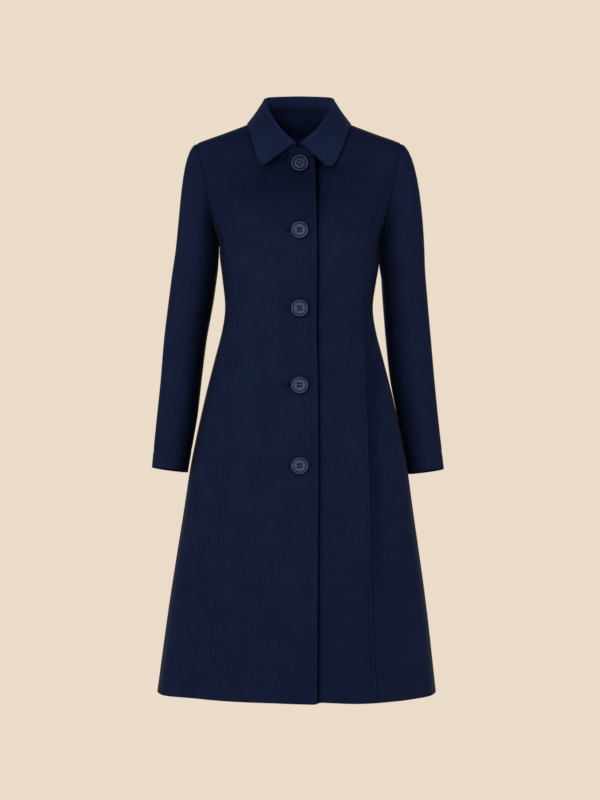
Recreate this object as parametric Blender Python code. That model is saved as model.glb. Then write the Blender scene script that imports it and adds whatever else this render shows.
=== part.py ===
"""Long single-breasted coat, filled out and empty: cloth walls, collar and buttons.

Metres, +Z up. The front faces -Y and the wearer's left is +X. The origin is the
middle of the neck opening at the level where the shoulder seams meet the neck.
"""

import math
from bisect import bisect_right
from collections import namedtuple

import bmesh
import bpy
from mathutils import Matrix, Vector

# Cloth and seams
WALL = 0.0022
FRONT_EDGE_WALL = 0.0034
COLLAR_WALL = 0.0026
SEAM_GAP = 0.0004
LAP_GAP = 0.0010

# Closure: the right front laps over the left front
LAP_REACH = 0.0335
LAP_LIFT = FRONT_EDGE_WALL + LAP_GAP
LAP_FLAT_END = 0.038
LAP_RAMP_END = 0.068

# Key heights
HEM = -1.088
WAIST = -0.360
UNDERARM = -0.240
SHOULDER_TIP = -0.049
NECK_POINT = -0.002

# Grid counts
SHOULDER_COLUMNS = 10
SIDE_COLUMNS = 7

# Sections of the body and skirt, from the hem up
Section = namedtuple("Section", "height half_width front_depth back_depth sway")
BODY_SECTIONS = (
    Section(-1.150, 0.2720, 0.2215, 0.2060, -0.0053),
    Section(-1.088, 0.2645, 0.2135, 0.2000, -0.0046),
    Section(-0.916, 0.2430, 0.1890, 0.1800, -0.0025),
    Section(-0.745, 0.2176, 0.1670, 0.1620, -0.0010),
    Section(-0.650, 0.2035, 0.1565, 0.1510, -0.0004),
    Section(-0.536, 0.1795, 0.1430, 0.1360, 0.0),
    Section(-0.460, 0.1605, 0.1310, 0.1200, 0.0),
    Section(-0.403, 0.1460, 0.1210, 0.1020, 0.0),
    Section(-0.360, 0.1408, 0.1170, 0.0930, 0.0),
    Section(-0.308, 0.1462, 0.1230, 0.0960, 0.0008),
    Section(-0.280, 0.1492, 0.1290, 0.1010, 0.0008),
    Section(-0.240, 0.1525, 0.1335, 0.1080, 0.0004),
    Section(-0.200, 0.1710, 0.1325, 0.1140, 0.0),
    Section(-0.165, 0.1900, 0.1290, 0.1165, 0.0),
    Section(-0.130, 0.2040, 0.1210, 0.1160, 0.0),
    Section(-0.095, 0.2130, 0.1070, 0.1120, 0.0),
    Section(-0.075, 0.2140, 0.0975, 0.1075, 0.0),
    Section(-0.060, 0.2080, 0.0890, 0.1030, 0.0),
    Section(-0.049, 0.1935, 0.0820, 0.0985, 0.0),
    Section(-0.030, 0.1420, 0.0620, 0.0920, 0.0),
    Section(-0.0133, 0.0985, 0.0385, 0.0840, 0.0),
    Section(-0.002, 0.0720, 0.0200, 0.0780, 0.0),
    Section(0.006, 0.0520, 0.0100, 0.0740, 0.0),
)

# Soft folds of the skirt: ridges have a positive lift, troughs a negative one
Fold = namedtuple("Fold", "angle spread start lift_mid lift_hem")
FOLD_MID = -0.640
FOLDS = (
    Fold(-24.0, 9.0, -0.420, 0.0025, 0.0040),
    Fold(-47.0, 8.0, -0.400, -0.0030, -0.0050),
    Fold(-66.0, 9.0, -0.420, 0.0025, 0.0050),
    Fold(33.0, 7.0, -0.360, 0.0045, 0.0040),
    Fold(48.0, 6.5, -0.360, -0.0065, 0.0030),
    Fold(66.0, 9.0, -0.420, 0.0030, 0.0050),
    Fold(116.0, 9.0, -0.450, 0.0030, 0.0070),
    Fold(139.0, 8.0, -0.430, -0.0040, -0.0080),
    Fold(161.0, 8.0, -0.430, 0.0035, 0.0065),
    Fold(-114.0, 9.0, -0.450, 0.0030, 0.0065),
    Fold(-137.0, 8.0, -0.430, -0.0045, -0.0085),
    Fold(-160.0, 8.0, -0.430, 0.0035, 0.0070),
)

# Rows shared by all panels from the hem to the waist
SKIRT_HEIGHTS = (
    HEM, -1.020, -0.950, -0.880, -0.810, -0.740, -0.670,
    -0.600, -0.540, -0.485, -0.437, -0.396, WAIST,
)

# Princess seam: reach from the centre front on either side
SeamRow = namedtuple("SeamRow", "height right_reach left_reach")
PRINCESS_SEAM = (
    SeamRow(-1.090, 0.1655, 0.1410),
    SeamRow(-0.960, 0.1572, 0.1335),
    SeamRow(-0.830, 0.1478, 0.1303),
    SeamRow(-0.690, 0.1405, 0.1285),
    SeamRow(-0.540, 0.1310, 0.1277),
    SeamRow(-0.450, 0.1236, 0.1240),
    SeamRow(-0.360, 0.1175, 0.1200),
    SeamRow(-0.280, 0.1180, 0.1210),
    SeamRow(-0.237, 0.1225, 0.1265),
    SeamRow(-0.197, 0.1300, 0.1375),
    SeamRow(-0.170, 0.1400, 0.1490),
    SeamRow(-0.145, 0.1540, 0.1630),
    SeamRow(-0.118, 0.1775, 0.1775),
)

# Bodice rows above the waist: heights on the three long edges of the front and side
BodiceRow = namedtuple("BodiceRow", "princess side front_edge")
BODICE_ROWS = (
    BodiceRow(-0.325, -0.344, -0.323),
    BodiceRow(-0.290, -0.328, -0.285),
    BodiceRow(-0.257, -0.312, -0.247),
    BodiceRow(-0.226, -0.297, -0.209),
    BodiceRow(-0.197, -0.282, -0.172),
    BodiceRow(-0.169, -0.267, -0.137),
    BodiceRow(-0.142, -0.253, -0.105),
)

# Outline points of the pattern: reach from the centre line at a height
Point = namedtuple("Point", "reach height")
FRONT_ARMHOLE = (
    Point(0.1775, -0.118),
    Point(0.1805, -0.104),
    Point(0.1840, -0.090),
    Point(0.1870, -0.076),
    Point(0.1900, -0.064),
    Point(0.1922, -0.0555),
    Point(0.1932, -0.0515),
    Point(0.1938, -0.0497),
)
SIDE_ARMHOLE = (
    Point(0.1748, -0.140),
    Point(0.1710, -0.162),
    Point(0.1665, -0.184),
    Point(0.1610, -0.205),
    Point(0.1555, -0.224),
    Point(0.1522, -0.236),
)
BACK_ARMHOLE = (
    Point(0.1527, -0.2365),
    Point(0.1549, -0.224),
    Point(0.1592, -0.203),
    Point(0.1669, -0.175),
    Point(0.1735, -0.145),
    Point(0.1792, -0.115),
    Point(0.1855, -0.088),
    Point(0.1900, -0.069),
    Point(0.1922, -0.0575),
    Point(0.1933, -0.0515),
)
FRONT_NECKLINE = (
    Point(-0.0300, -0.0800),
    Point(-0.0190, -0.0690),
    Point(0.0000, -0.0660),
    Point(0.0220, -0.0615),
    Point(0.0430, -0.0490),
    Point(0.0580, -0.0320),
    Point(0.0668, -0.0160),
    Point(0.0706, -0.0070),
)
BACK_CENTRE_HEIGHTS = (
    -0.346, -0.333, -0.321, -0.309, -0.298, -0.288, -0.279, -0.270,
    -0.225, -0.175, -0.120, -0.062, NECK_POINT,
)
BACK_NECK_ANGLES = (24.0, 44.0, 60.0, 72.0, 82.0)

# Sleeves from the cuff up: reach of the outer and inner edge, middle and half depth
SleeveRow = namedtuple("SleeveRow", "height outer inner middle half_depth")
RIGHT_SLEEVE = (
    SleeveRow(-0.668, 0.2785, 0.2080, -0.021, 0.0470),
    SleeveRow(-0.574, 0.2700, 0.1930, -0.011, 0.0490),
    SleeveRow(-0.498, 0.2628, 0.1846, -0.003, 0.0515),
    SleeveRow(-0.422, 0.2568, 0.1752, 0.003, 0.0540),
    SleeveRow(-0.346, 0.2477, 0.1618, 0.004, 0.0580),
    SleeveRow(-0.280, 0.2388, 0.1535, 0.003, 0.0615),
    SleeveRow(-0.200, 0.2240, 0.1490, 0.002, 0.0630),
)
LEFT_SLEEVE = (
    SleeveRow(-0.672, 0.2760, 0.2075, 0.012, 0.0470),
    SleeveRow(-0.574, 0.2655, 0.1885, 0.014, 0.0490),
    SleeveRow(-0.498, 0.2582, 0.1735, 0.014, 0.0515),
    SleeveRow(-0.422, 0.2515, 0.1650, 0.012, 0.0540),
    SleeveRow(-0.346, 0.2447, 0.1590, 0.009, 0.0580),
    SleeveRow(-0.280, 0.2395, 0.1555, 0.006, 0.0615),
    SleeveRow(-0.200, 0.2375, 0.1500, 0.003, 0.0630),
)
CAP_STEPS = (0.0, 0.10, 0.24, 0.41, 0.60, 0.80)
ARM_TOP = -0.280
ARM_STEPS = (0.0, 0.13, 0.27, 0.41, 0.565, 0.72, 0.86, 1.0)
CAP_SPRING = 0.13
CAP_SPRING_LEAST = 0.006
CAP_LEAN_TOP = Vector((1.0, 0.0, -0.37))
CAP_LEAN_UNDERARM = Vector((0.12, 0.0, -1.0))
CUFF_TILT_SIDE = 0.0045
CUFF_TILT_FRONT = 0.0035
CUFF_TILT_START = -0.480
FRONT_SLEEVE_SEAM = 11
BACK_SLEEVE_SEAM = 19

# Collar: roll line, outer edge on the body and neck seam, from centre front to centre back
CollarRow = namedtuple(
    "CollarRow",
    "roll_x roll_y roll_z roll_radius edge_x edge_z seam_x seam_z lean bulge behind",
)
COLLAR_ROWS = (
    CollarRow(0.0080, -0.1000, -0.0550, 0.0038, 0.0665, -0.1005, 0.0045, -0.0635, -0.30, 0.0050, False),
    CollarRow(0.0200, -0.0945, -0.0440, 0.0040, 0.0715, -0.0895, 0.0150, -0.0612, -0.28, 0.0050, False),
    CollarRow(0.0327, -0.0840, -0.0310, 0.0042, 0.0768, -0.0770, 0.0290, -0.0565, -0.26, 0.0050, False),
    CollarRow(0.0440, -0.0670, -0.0145, 0.0045, 0.0830, -0.0610, 0.0420, -0.0485, -0.22, 0.0045, False),
    CollarRow(0.0535, -0.0460, 0.0025, 0.0048, 0.0895, -0.0420, 0.0540, -0.0352, -0.20, 0.0030, False),
    CollarRow(0.0608, -0.0220, 0.0195, 0.0050, 0.0948, -0.0245, 0.0650, -0.0182, -0.10, 0.0010, False),
    CollarRow(0.0650, 0.0050, 0.0350, 0.0052, 0.0975, -0.0130, 0.0720, -0.0020, 0.0, -0.0005, False),
    CollarRow(0.0610, 0.0320, 0.0435, 0.0052, 0.0885, -0.0165, 0.0653, -0.0020, 0.05, 0.0010, True),
    CollarRow(0.0455, 0.0560, 0.0475, 0.0050, 0.0670, -0.0185, 0.0490, -0.0020, 0.08, 0.0030, True),
    CollarRow(0.0235, 0.0705, 0.0493, 0.0048, 0.0355, -0.0200, 0.0255, -0.0020, 0.10, 0.0040, True),
    CollarRow(0.0, 0.0755, 0.0498, 0.0048, 0.0, -0.0205, 0.0, -0.0020, 0.10, 0.0040, True),
)
COLLAR_STATIONS_PER_ROW = 2
ROLL_ANGLES = (180.0, 120.0, 60.0, 0.0)
STAND_SHARE = 0.55
STAND_STEPS = (0.0, 0.5, 1.0)
LEG_STEPS = (0.0, 0.5)
FALL_STEPS = (0.25, 0.5, 0.75, 1.0)
FALL_CLEARANCE = 0.0008

# Buttons: height down the centre front, turn in degrees and clearance of the cloth
ButtonPlace = namedtuple("ButtonPlace", "height turn seat")
BUTTON_PLACES = (
    ButtonPlace(-0.0985, 20.0, 0.0005),
    ButtonPlace(-0.2220, 8.0, 0.0005),
    ButtonPlace(-0.3660, 14.0, 0.0013),
    ButtonPlace(-0.5100, 2.0, 0.0005),
    ButtonPlace(-0.6580, 5.0, 0.0005),
)
BUTTON_X = 0.0012
BUTTON_FACETS = 20
ProfilePoint = namedtuple("ProfilePoint", "radius height")
BUTTON_PROFILE = (
    ProfilePoint(0.0, 0.0),
    ProfilePoint(0.0085, 0.0),
    ProfilePoint(0.0142, 0.0015),
    ProfilePoint(0.0155, 0.0029),
    ProfilePoint(0.0151, 0.0041),
    ProfilePoint(0.0137, 0.0047),
    ProfilePoint(0.0123, 0.0042),
    ProfilePoint(0.0113, 0.0031),
    ProfilePoint(0.0103, 0.0036),
    ProfilePoint(0.0093, 0.0041),
    ProfilePoint(0.0, 0.0036),
)
MERGE_DISTANCE = 0.00001
HOLE_RADIUS = 0.0011
HOLE_OFFSET = 0.0024
HOLE_FACETS = 8
HOLE_LENGTH = 0.02

# Colours, linear red, green and blue
WOOL_COLOUR = (0.0090, 0.0135, 0.0385, 1.0)
BUTTON_COLOUR = (0.0500, 0.0600, 0.1150, 1.0)
WOOL_ROUGHNESS = 0.95
BUTTON_ROUGHNESS = 0.42

# Step of the numeric slopes
SLOPE_STEP = 0.0004


def clamp(value, low, high):
    return max(low, min(high, value))


def smooth_step(value):
    share = clamp(value, 0.0, 1.0)
    return share * share * (3.0 - 2.0 * share)


def mix(first, second, share):
    return first + (second - first) * share


def table_slope(rows, column, index):
    """Slope of one column at a row, taken from its neighbours."""
    before = rows[max(index - 1, 0)]
    after = rows[min(index + 1, len(rows) - 1)]
    rise = getattr(after, column) - getattr(before, column)
    return rise / (after.height - before.height)


def read_table(rows, column, height):
    """Smooth value of one column of a table at a height."""
    heights = [row.height for row in rows]
    index = clamp(bisect_right(heights, height) - 1, 0, len(rows) - 2)
    low = rows[index]
    high = rows[index + 1]
    span = high.height - low.height
    share = clamp((height - low.height) / span, 0.0, 1.0)
    square = share * share
    cube = square * share
    start = getattr(low, column)
    end = getattr(high, column)
    start_slope = table_slope(rows, column, index) * span
    end_slope = table_slope(rows, column, index + 1) * span
    return (
        (2.0 * cube - 3.0 * square + 1.0) * start
        + (cube - 2.0 * square + share) * start_slope
        + (3.0 * square - 2.0 * cube) * end
        + (cube - square) * end_slope
    )


def fold_lift(angle, height):
    """Height of the skirt folds over the plain section at an angle."""
    total = 0.0
    for fold in FOLDS:
        offset = (math.degrees(angle) - fold.angle + 180.0) % 360.0 - 180.0
        if height > FOLD_MID:
            grown = smooth_step((fold.start - height) / (fold.start - FOLD_MID))
            lift = fold.lift_mid * grown
        else:
            lift = mix(fold.lift_mid, fold.lift_hem, (FOLD_MID - height) / (FOLD_MID - HEM))
        total += lift * math.exp(-((offset / fold.spread) ** 2))
    return total


def form_point(angle, height):
    """Point of the outer face: angle 0 is the centre front, +90 degrees the left side."""
    half_width = read_table(BODY_SECTIONS, "half_width", height)
    sway = read_table(BODY_SECTIONS, "sway", height)
    depth_name = "front_depth" if math.cos(angle) > 0.0 else "back_depth"
    depth = read_table(BODY_SECTIONS, depth_name, height)
    lift = fold_lift(angle, height)
    return Vector((
        sway + (half_width + lift) * math.sin(angle),
        -(depth + lift) * math.cos(angle),
        height,
    ))


def form_normal(angle, height):
    """Outward direction of the form."""
    around = form_point(angle + SLOPE_STEP, height) - form_point(angle - SLOPE_STEP, height)
    upward = form_point(angle, height + SLOPE_STEP) - form_point(angle, height - SLOPE_STEP)
    return around.cross(upward).normalized()


def form_angle(point):
    """Angle of the section through a point near the form."""
    half_width = read_table(BODY_SECTIONS, "half_width", point.z)
    sway = read_table(BODY_SECTIONS, "sway", point.z)
    depth_name = "front_depth" if point.y <= 0.0 else "back_depth"
    depth = read_table(BODY_SECTIONS, depth_name, point.z)
    return math.atan2((point.x - sway) / half_width, -point.y / depth)


def angle_at(x, height, behind):
    """Angle at which the section of a height has the given x."""
    half_width = read_table(BODY_SECTIONS, "half_width", height)
    sway = read_table(BODY_SECTIONS, "sway", height)
    front_angle = math.asin(clamp((x - sway) / half_width, -1.0, 1.0))
    if behind:
        return math.copysign(math.pi, x) - front_angle
    return front_angle


def outline_point(point, side, behind=False):
    return form_point(angle_at(side * point.reach, point.height, behind), point.height)


def seam_point(height, side):
    column = "left_reach" if side > 0 else "right_reach"
    reach = read_table(PRINCESS_SEAM, column, height)
    return outline_point(Point(reach, height), side)


def side_point(height, side):
    return form_point(side * math.pi / 2.0, height)


def blend_rows(left, right, bottom, top):
    """Grid between four edges that share their corners, drawn onto the form."""
    last_row = len(left) - 1
    last_column = len(bottom) - 1
    grid = []
    for row in range(last_row + 1):
        left_rise = (left[row].z - left[0].z) / (left[last_row].z - left[0].z)
        right_rise = (right[row].z - right[0].z) / (right[last_row].z - right[0].z)
        line = []
        for column in range(last_column + 1):
            u = column / last_column
            v = mix(left_rise, right_rise, u)
            between = left[row].lerp(right[row], u) + bottom[column].lerp(top[column], v)
            corners = bottom[0].lerp(bottom[last_column], u).lerp(top[0].lerp(top[last_column], u), v)
            point = between - corners
            on_edge = row in (0, last_row) or column in (0, last_column)
            if not on_edge:
                point = form_point(form_angle(point), point.z)
            line.append(point)
        grid.append(line)
    return grid


def form_wall(grid, wall_of, lift_of):
    """Outer and inner grids of a panel that lies on the form."""
    outer = []
    inner = []
    for line in grid:
        outer_line = []
        inner_line = []
        for point in line:
            normal = form_normal(form_angle(point), point.z)
            lifted = point + normal * lift_of(point)
            outer_line.append(lifted)
            inner_line.append(lifted - normal * wall_of(point))
        outer.append(outer_line)
        inner.append(inner_line)
    return outer, inner


def pull_in(grid, gap):
    """Grid with its edges drawn in, so that neighbours stay a seam gap apart."""
    rows = len(grid)
    columns = len(grid[0])
    moved = [[point.copy() for point in line] for line in grid]
    for column in range(columns):
        for row, inside in ((0, 1), (rows - 1, rows - 2)):
            way = (grid[inside][column] - grid[row][column]).normalized()
            moved[row][column] += way * gap
    for row in range(rows):
        for column, inside in ((0, 1), (columns - 1, columns - 2)):
            way = (grid[row][inside] - grid[row][column]).normalized()
            moved[row][column] += way * gap
    return moved


def make_material(name, colour, roughness):
    material = bpy.data.materials.new(name)
    material.use_nodes = True
    shader = material.node_tree.nodes["Principled BSDF"]
    shader.inputs["Base Color"].default_value = colour
    shader.inputs["Roughness"].default_value = roughness
    shader.inputs["Metallic"].default_value = 0.0
    material.diffuse_color = colour
    return material


def add_object(name, bm, material):
    bmesh.ops.recalc_face_normals(bm, faces=bm.faces)
    mesh = bpy.data.meshes.new(name)
    bm.to_mesh(mesh)
    bm.free()
    mesh.materials.append(material)
    piece = bpy.data.objects.new(name, mesh)
    bpy.context.scene.collection.objects.link(piece)
    return piece


def add_wall(name, outer, inner, material):
    """Closed wall between two grids of the same size."""
    bm = bmesh.new()
    outer_verts = [[bm.verts.new(point) for point in line] for line in outer]
    inner_verts = [[bm.verts.new(point) for point in line] for line in inner]
    rows = len(outer)
    columns = len(outer[0])
    for row in range(rows - 1):
        for column in range(columns - 1):
            for verts in (outer_verts, inner_verts):
                bm.faces.new((
                    verts[row][column],
                    verts[row][column + 1],
                    verts[row + 1][column + 1],
                    verts[row + 1][column],
                ))
    for column in range(columns - 1):
        for row in (0, rows - 1):
            bm.faces.new((
                outer_verts[row][column],
                outer_verts[row][column + 1],
                inner_verts[row][column + 1],
                inner_verts[row][column],
            ))
    for row in range(rows - 1):
        for column in (0, columns - 1):
            bm.faces.new((
                outer_verts[row][column],
                outer_verts[row + 1][column],
                inner_verts[row + 1][column],
                inner_verts[row][column],
            ))
    return add_object(name, bm, material)


def arc_points(start_angle, end_angle, height, count):
    """Points of the section at a height, with even steps of angle."""
    return [form_point(mix(start_angle, end_angle, i / count), height) for i in range(count + 1)]


def shoulder_points(side):
    """Shoulder seam from the neck point to the shoulder tip."""
    heights = [mix(NECK_POINT, SHOULDER_TIP, i / SHOULDER_COLUMNS) for i in range(SHOULDER_COLUMNS + 1)]
    return [side_point(height, side) for height in heights]


def princess_edge(side):
    heights = list(SKIRT_HEIGHTS) + [row.princess for row in BODICE_ROWS]
    edge = [seam_point(height, side) for height in heights]
    edge.append(outline_point(FRONT_ARMHOLE[0], side))
    return edge


def side_edge(side):
    heights = list(SKIRT_HEIGHTS) + [row.side for row in BODICE_ROWS] + [UNDERARM]
    return [side_point(height, side) for height in heights]


def front_panel(side):
    """Grid of a centre front: front edge and neckline, then princess seam and armhole."""
    edge_heights = list(SKIRT_HEIGHTS) + [row.front_edge for row in BODICE_ROWS]
    inner_edge = [outline_point(Point(-LAP_REACH, height), side) for height in edge_heights]
    inner_edge += [outline_point(point, side) for point in FRONT_NECKLINE]
    inner_edge.append(side_point(NECK_POINT, side))
    outer_edge = princess_edge(side)
    outer_edge += [outline_point(point, side) for point in FRONT_ARMHOLE[1:]]
    outer_edge.append(side_point(SHOULDER_TIP, side))
    start = form_angle(inner_edge[0])
    end = form_angle(outer_edge[0])
    hem = arc_points(start, end, HEM, SHOULDER_COLUMNS)
    return blend_rows(inner_edge, outer_edge, hem, shoulder_points(side))


def side_armhole(side):
    """Lower front armhole from the princess seam to the underarm."""
    points = [outline_point(FRONT_ARMHOLE[0], side)]
    points += [outline_point(point, side) for point in SIDE_ARMHOLE]
    points.append(side_point(UNDERARM, side))
    return points


def side_panel(side):
    princess = princess_edge(side)
    hem = arc_points(form_angle(princess[0]), side * math.pi / 2.0, HEM, SIDE_COLUMNS)
    return blend_rows(princess, side_edge(side), hem, side_armhole(side))


def back_armhole(side):
    """Back armhole from above the underarm to the shoulder tip."""
    points = [outline_point(point, side, behind=True) for point in BACK_ARMHOLE]
    points.append(side_point(SHOULDER_TIP, side))
    return points


def back_panel(side):
    """Grid of a back half: centre seam and neckline, then side seam and armhole."""
    heights = list(SKIRT_HEIGHTS) + list(BACK_CENTRE_HEIGHTS)
    inner_edge = [form_point(side * math.pi, height) for height in heights]
    for degrees in BACK_NECK_ANGLES:
        inner_edge.append(form_point(side * (math.pi - math.radians(degrees)), NECK_POINT))
    inner_edge.append(side_point(NECK_POINT, side))
    outer_edge = side_edge(side) + back_armhole(side)
    hem = arc_points(side * math.pi, side * math.pi / 2.0, HEM, SHOULDER_COLUMNS)
    return blend_rows(inner_edge, outer_edge, hem, shoulder_points(side))


def lap_lift(point):
    """Lift of the overlapping front, fading out beyond the covered edge."""
    fade = (LAP_RAMP_END + point.x) / (LAP_RAMP_END - LAP_FLAT_END)
    return LAP_LIFT * smooth_step(fade)


def no_lift(point):
    return 0.0


def front_wall(point):
    """Cloth wall of a front, doubled near its edge."""
    fade = (LAP_RAMP_END - abs(point.x)) / (LAP_RAMP_END - LAP_FLAT_END)
    return mix(WALL, FRONT_EDGE_WALL, smooth_step(fade))


def plain_wall(point):
    return WALL


def sleeve_ring_point(rows, side, angle, height):
    """Point of the sleeve: angle 0 is its outer edge, 90 degrees its front."""
    outer = read_table(rows, "outer", height)
    inner = read_table(rows, "inner", height)
    middle = read_table(rows, "middle", height)
    half_depth = read_table(rows, "half_depth", height)
    reach = (outer + inner) / 2.0 + (outer - inner) / 2.0 * math.cos(angle)
    ramp = smooth_step((CUFF_TILT_START - height) / (CUFF_TILT_START - rows[0].height))
    tilt = CUFF_TILT_SIDE * math.cos(angle) + CUFF_TILT_FRONT * math.sin(angle)
    return Vector((side * reach, middle - half_depth * math.sin(angle), height + ramp * tilt))


def armhole_loop(side):
    """Armhole points from the shoulder tip down the front and up the back."""
    loop = [side_point(SHOULDER_TIP, side)]
    loop += [outline_point(point, side) for point in reversed(FRONT_ARMHOLE)]
    loop += side_armhole(side)[1:]
    loop += back_armhole(side)[:-1]
    return loop


def loop_angles(loop):
    """Angle around the sleeve for each armhole point, by its share of the length."""
    lowest = min(range(len(loop)), key=lambda i: loop[i].z)
    closed = loop + [loop[0]]
    lengths = [0.0]
    for i in range(len(loop)):
        lengths.append(lengths[-1] + (closed[i + 1] - closed[i]).length)
    front = lengths[lowest]
    back = lengths[-1] - front
    angles = []
    for i in range(len(loop)):
        if i <= lowest:
            angles.append(math.pi * lengths[i] / front)
        else:
            angles.append(math.pi * (1.0 + (lengths[i] - front) / back))
    return angles


def cap_curve(rows, side, start, angle):
    """Control points of a sleeve column between the armhole and the upper arm."""
    end = sleeve_ring_point(rows, side, angle, ARM_TOP)
    above = sleeve_ring_point(rows, side, angle, rows[-1].height)
    drop = start.z - end.z
    level = (start.z - UNDERARM) / (SHOULDER_TIP - UNDERARM)
    lean = CAP_LEAN_UNDERARM.lerp(CAP_LEAN_TOP, level).normalized()
    lean.x *= side
    spring = CAP_SPRING * drop + CAP_SPRING_LEAST
    rise = drop / (SHOULDER_TIP - ARM_TOP)
    return start, start + lean * spring, end + (above - end) * rise, end


def bezier(controls, share):
    rest = 1.0 - share
    first, second, third, fourth = controls
    return (
        first * rest ** 3
        + second * (3.0 * rest * rest * share)
        + third * (3.0 * rest * share * share)
        + fourth * share ** 3
    )


def sleeve_grid(rows, side):
    """Rings of the sleeve from the armhole to the cuff, one column per armhole point."""
    loop = armhole_loop(side)
    angles = loop_angles(loop)
    start_shift = Vector((side * SEAM_GAP, 0.0, 0.0))
    curves = [cap_curve(rows, side, p + start_shift, a) for p, a in zip(loop, angles)]
    grid = [[bezier(curve, step) for curve in curves] for step in CAP_STEPS]
    for step in ARM_STEPS:
        height = mix(ARM_TOP, rows[0].height, step)
        grid.append([sleeve_ring_point(rows, side, angle, height) for angle in angles])
    return grid


def grid_normals(grid, closed):
    """Directions square to a grid, from its neighbouring points."""
    rows = len(grid)
    columns = len(grid[0])
    normals = []
    for row in range(rows):
        line = []
        for column in range(columns):
            after = (column + 1) % columns if closed else min(column + 1, columns - 1)
            before = column - 1 if closed else max(column - 1, 0)
            along = grid[row][after] - grid[row][before]
            across = grid[min(row + 1, rows - 1)][column] - grid[max(row - 1, 0)][column]
            line.append(along.cross(across).normalized())
        normals.append(line)
    return normals


def add_sleeve(rows, side, label, material):
    grid = sleeve_grid(rows, side)
    normals = grid_normals(grid, closed=True)
    count = len(grid[0])
    upper = [i % count for i in range(BACK_SLEEVE_SEAM, count + FRONT_SLEEVE_SEAM + 1)]
    under = list(range(FRONT_SLEEVE_SEAM, BACK_SLEEVE_SEAM + 1))
    for part_name, columns in (("sleeve_upper", upper), ("sleeve_under", under)):
        outer = [[line[i] for i in columns] for line in grid]
        inner = []
        for line, directions in zip(grid, normals):
            inner.append([line[i] - directions[i] * (WALL * side) for i in columns])
        outer = pull_in(outer, SEAM_GAP / 2.0)
        inner = pull_in(inner, SEAM_GAP / 2.0)
        add_wall(f"{part_name}_{label}", outer, inner, material)


def collar_row_at(position):
    """Collar row between two rows of its table, smoothly."""
    index = min(int(position), len(COLLAR_ROWS) - 2)
    share = position - index
    last = len(COLLAR_ROWS) - 1
    near = [COLLAR_ROWS[clamp(index + k, 0, last)] for k in (-1, 0, 1, 2)]
    values = {}
    for column in CollarRow._fields:
        if column == "behind":
            values[column] = near[2].behind if share > 0.0 else near[1].behind
            continue
        p0, p1, p2, p3 = (getattr(row, column) for row in near)
        first = (p2 - p0) / 2.0
        second = (p3 - p1) / 2.0
        if index == last - 1 and column in ("roll_x", "edge_x", "seam_x"):
            second = p2 - p1
        elif index == last - 1:
            second = 0.0
        square = share * share
        cube = square * share
        values[column] = (
            (2.0 * cube - 3.0 * square + 1.0) * p1
            + (cube - 2.0 * square + share) * first
            + (3.0 * square - 2.0 * cube) * p2
            + (cube - square) * second
        )
    return CollarRow(**values)


def collar_profile(row, side):
    """Points across the collar from the neck seam over the roll to the outer edge."""
    seam_angle = angle_at(row.seam_x, row.seam_z, row.behind)
    seam_normal = form_normal(seam_angle, row.seam_z)
    seam_lift = lap_lift(Vector((-row.seam_x, 0.0, 0.0))) if side < 0.0 and not row.behind else 0.0
    seam_level = (seam_normal * Vector((1.0, 1.0, 0.0))).normalized()
    seam = form_point(seam_angle, row.seam_z) + seam_normal * seam_lift - seam_level * WALL
    edge_angle = angle_at(row.edge_x, row.edge_z, row.behind)
    edge_normal = form_normal(edge_angle, row.edge_z)
    edge = form_point(edge_angle, row.edge_z)
    lift = COLLAR_WALL + FALL_CLEARANCE + lap_lift(Vector((-edge.x, 0.0, 0.0)))
    edge = edge + edge_normal * lift
    roll = Vector((row.roll_x, row.roll_y, row.roll_z))
    up = Vector((0.0, row.lean, 1.0)).normalized()
    fall_way = edge - roll
    outward = (fall_way - up * fall_way.dot(up)).normalized()
    centre = roll - up * row.roll_radius
    turn = []
    for degrees in ROLL_ANGLES:
        angle = math.radians(degrees)
        turn.append(centre + (outward * math.cos(angle) + up * math.sin(angle)) * row.roll_radius)
    seam = seam + Vector((0.0, 0.0, SEAM_GAP))
    stand_top = seam.lerp(turn[0], STAND_SHARE)
    stand = [seam.lerp(stand_top, step) for step in STAND_STEPS]
    leg_start = stand_top + (turn[0] - stand_top).normalized() * SEAM_GAP
    leg = [leg_start.lerp(turn[0], step) for step in LEG_STEPS]
    bend = (turn[-1] + edge) / 2.0 + edge_normal * (2.0 * row.bulge)
    fall = []
    for step in FALL_STEPS:
        fall.append(turn[-1].lerp(bend, step).lerp(bend.lerp(edge, step), step))
    flip = Vector((side, 1.0, 1.0))
    stand = [point * flip for point in stand]
    across = [point * flip for point in leg + turn + fall]
    return stand, across


def collar_grids():
    """Grids of the stand and of the fall, from the right end round to the left end."""
    last = len(COLLAR_ROWS) - 1
    count = last * COLLAR_STATIONS_PER_ROW
    positions = [i / COLLAR_STATIONS_PER_ROW for i in range(count + 1)]
    right = [collar_profile(collar_row_at(p), -1.0) for p in positions]
    left = [collar_profile(collar_row_at(p), 1.0) for p in reversed(positions[:-1])]
    profiles = right + left
    stand = [list(line) for line in zip(*(stand for stand, across in profiles))]
    fall = [list(line) for line in zip(*(across for stand, across in profiles))]
    return stand, fall


def add_collar(material):
    stand, fall = collar_grids()
    for name, grid, wall in (("collar_stand", stand, WALL), ("collar_fall", fall, COLLAR_WALL)):
        normals = grid_normals(grid, closed=False)
        back = []
        for line, directions in zip(grid, normals):
            back.append([point - way * wall for point, way in zip(line, directions)])
        add_wall(name, grid, back, material)


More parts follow.
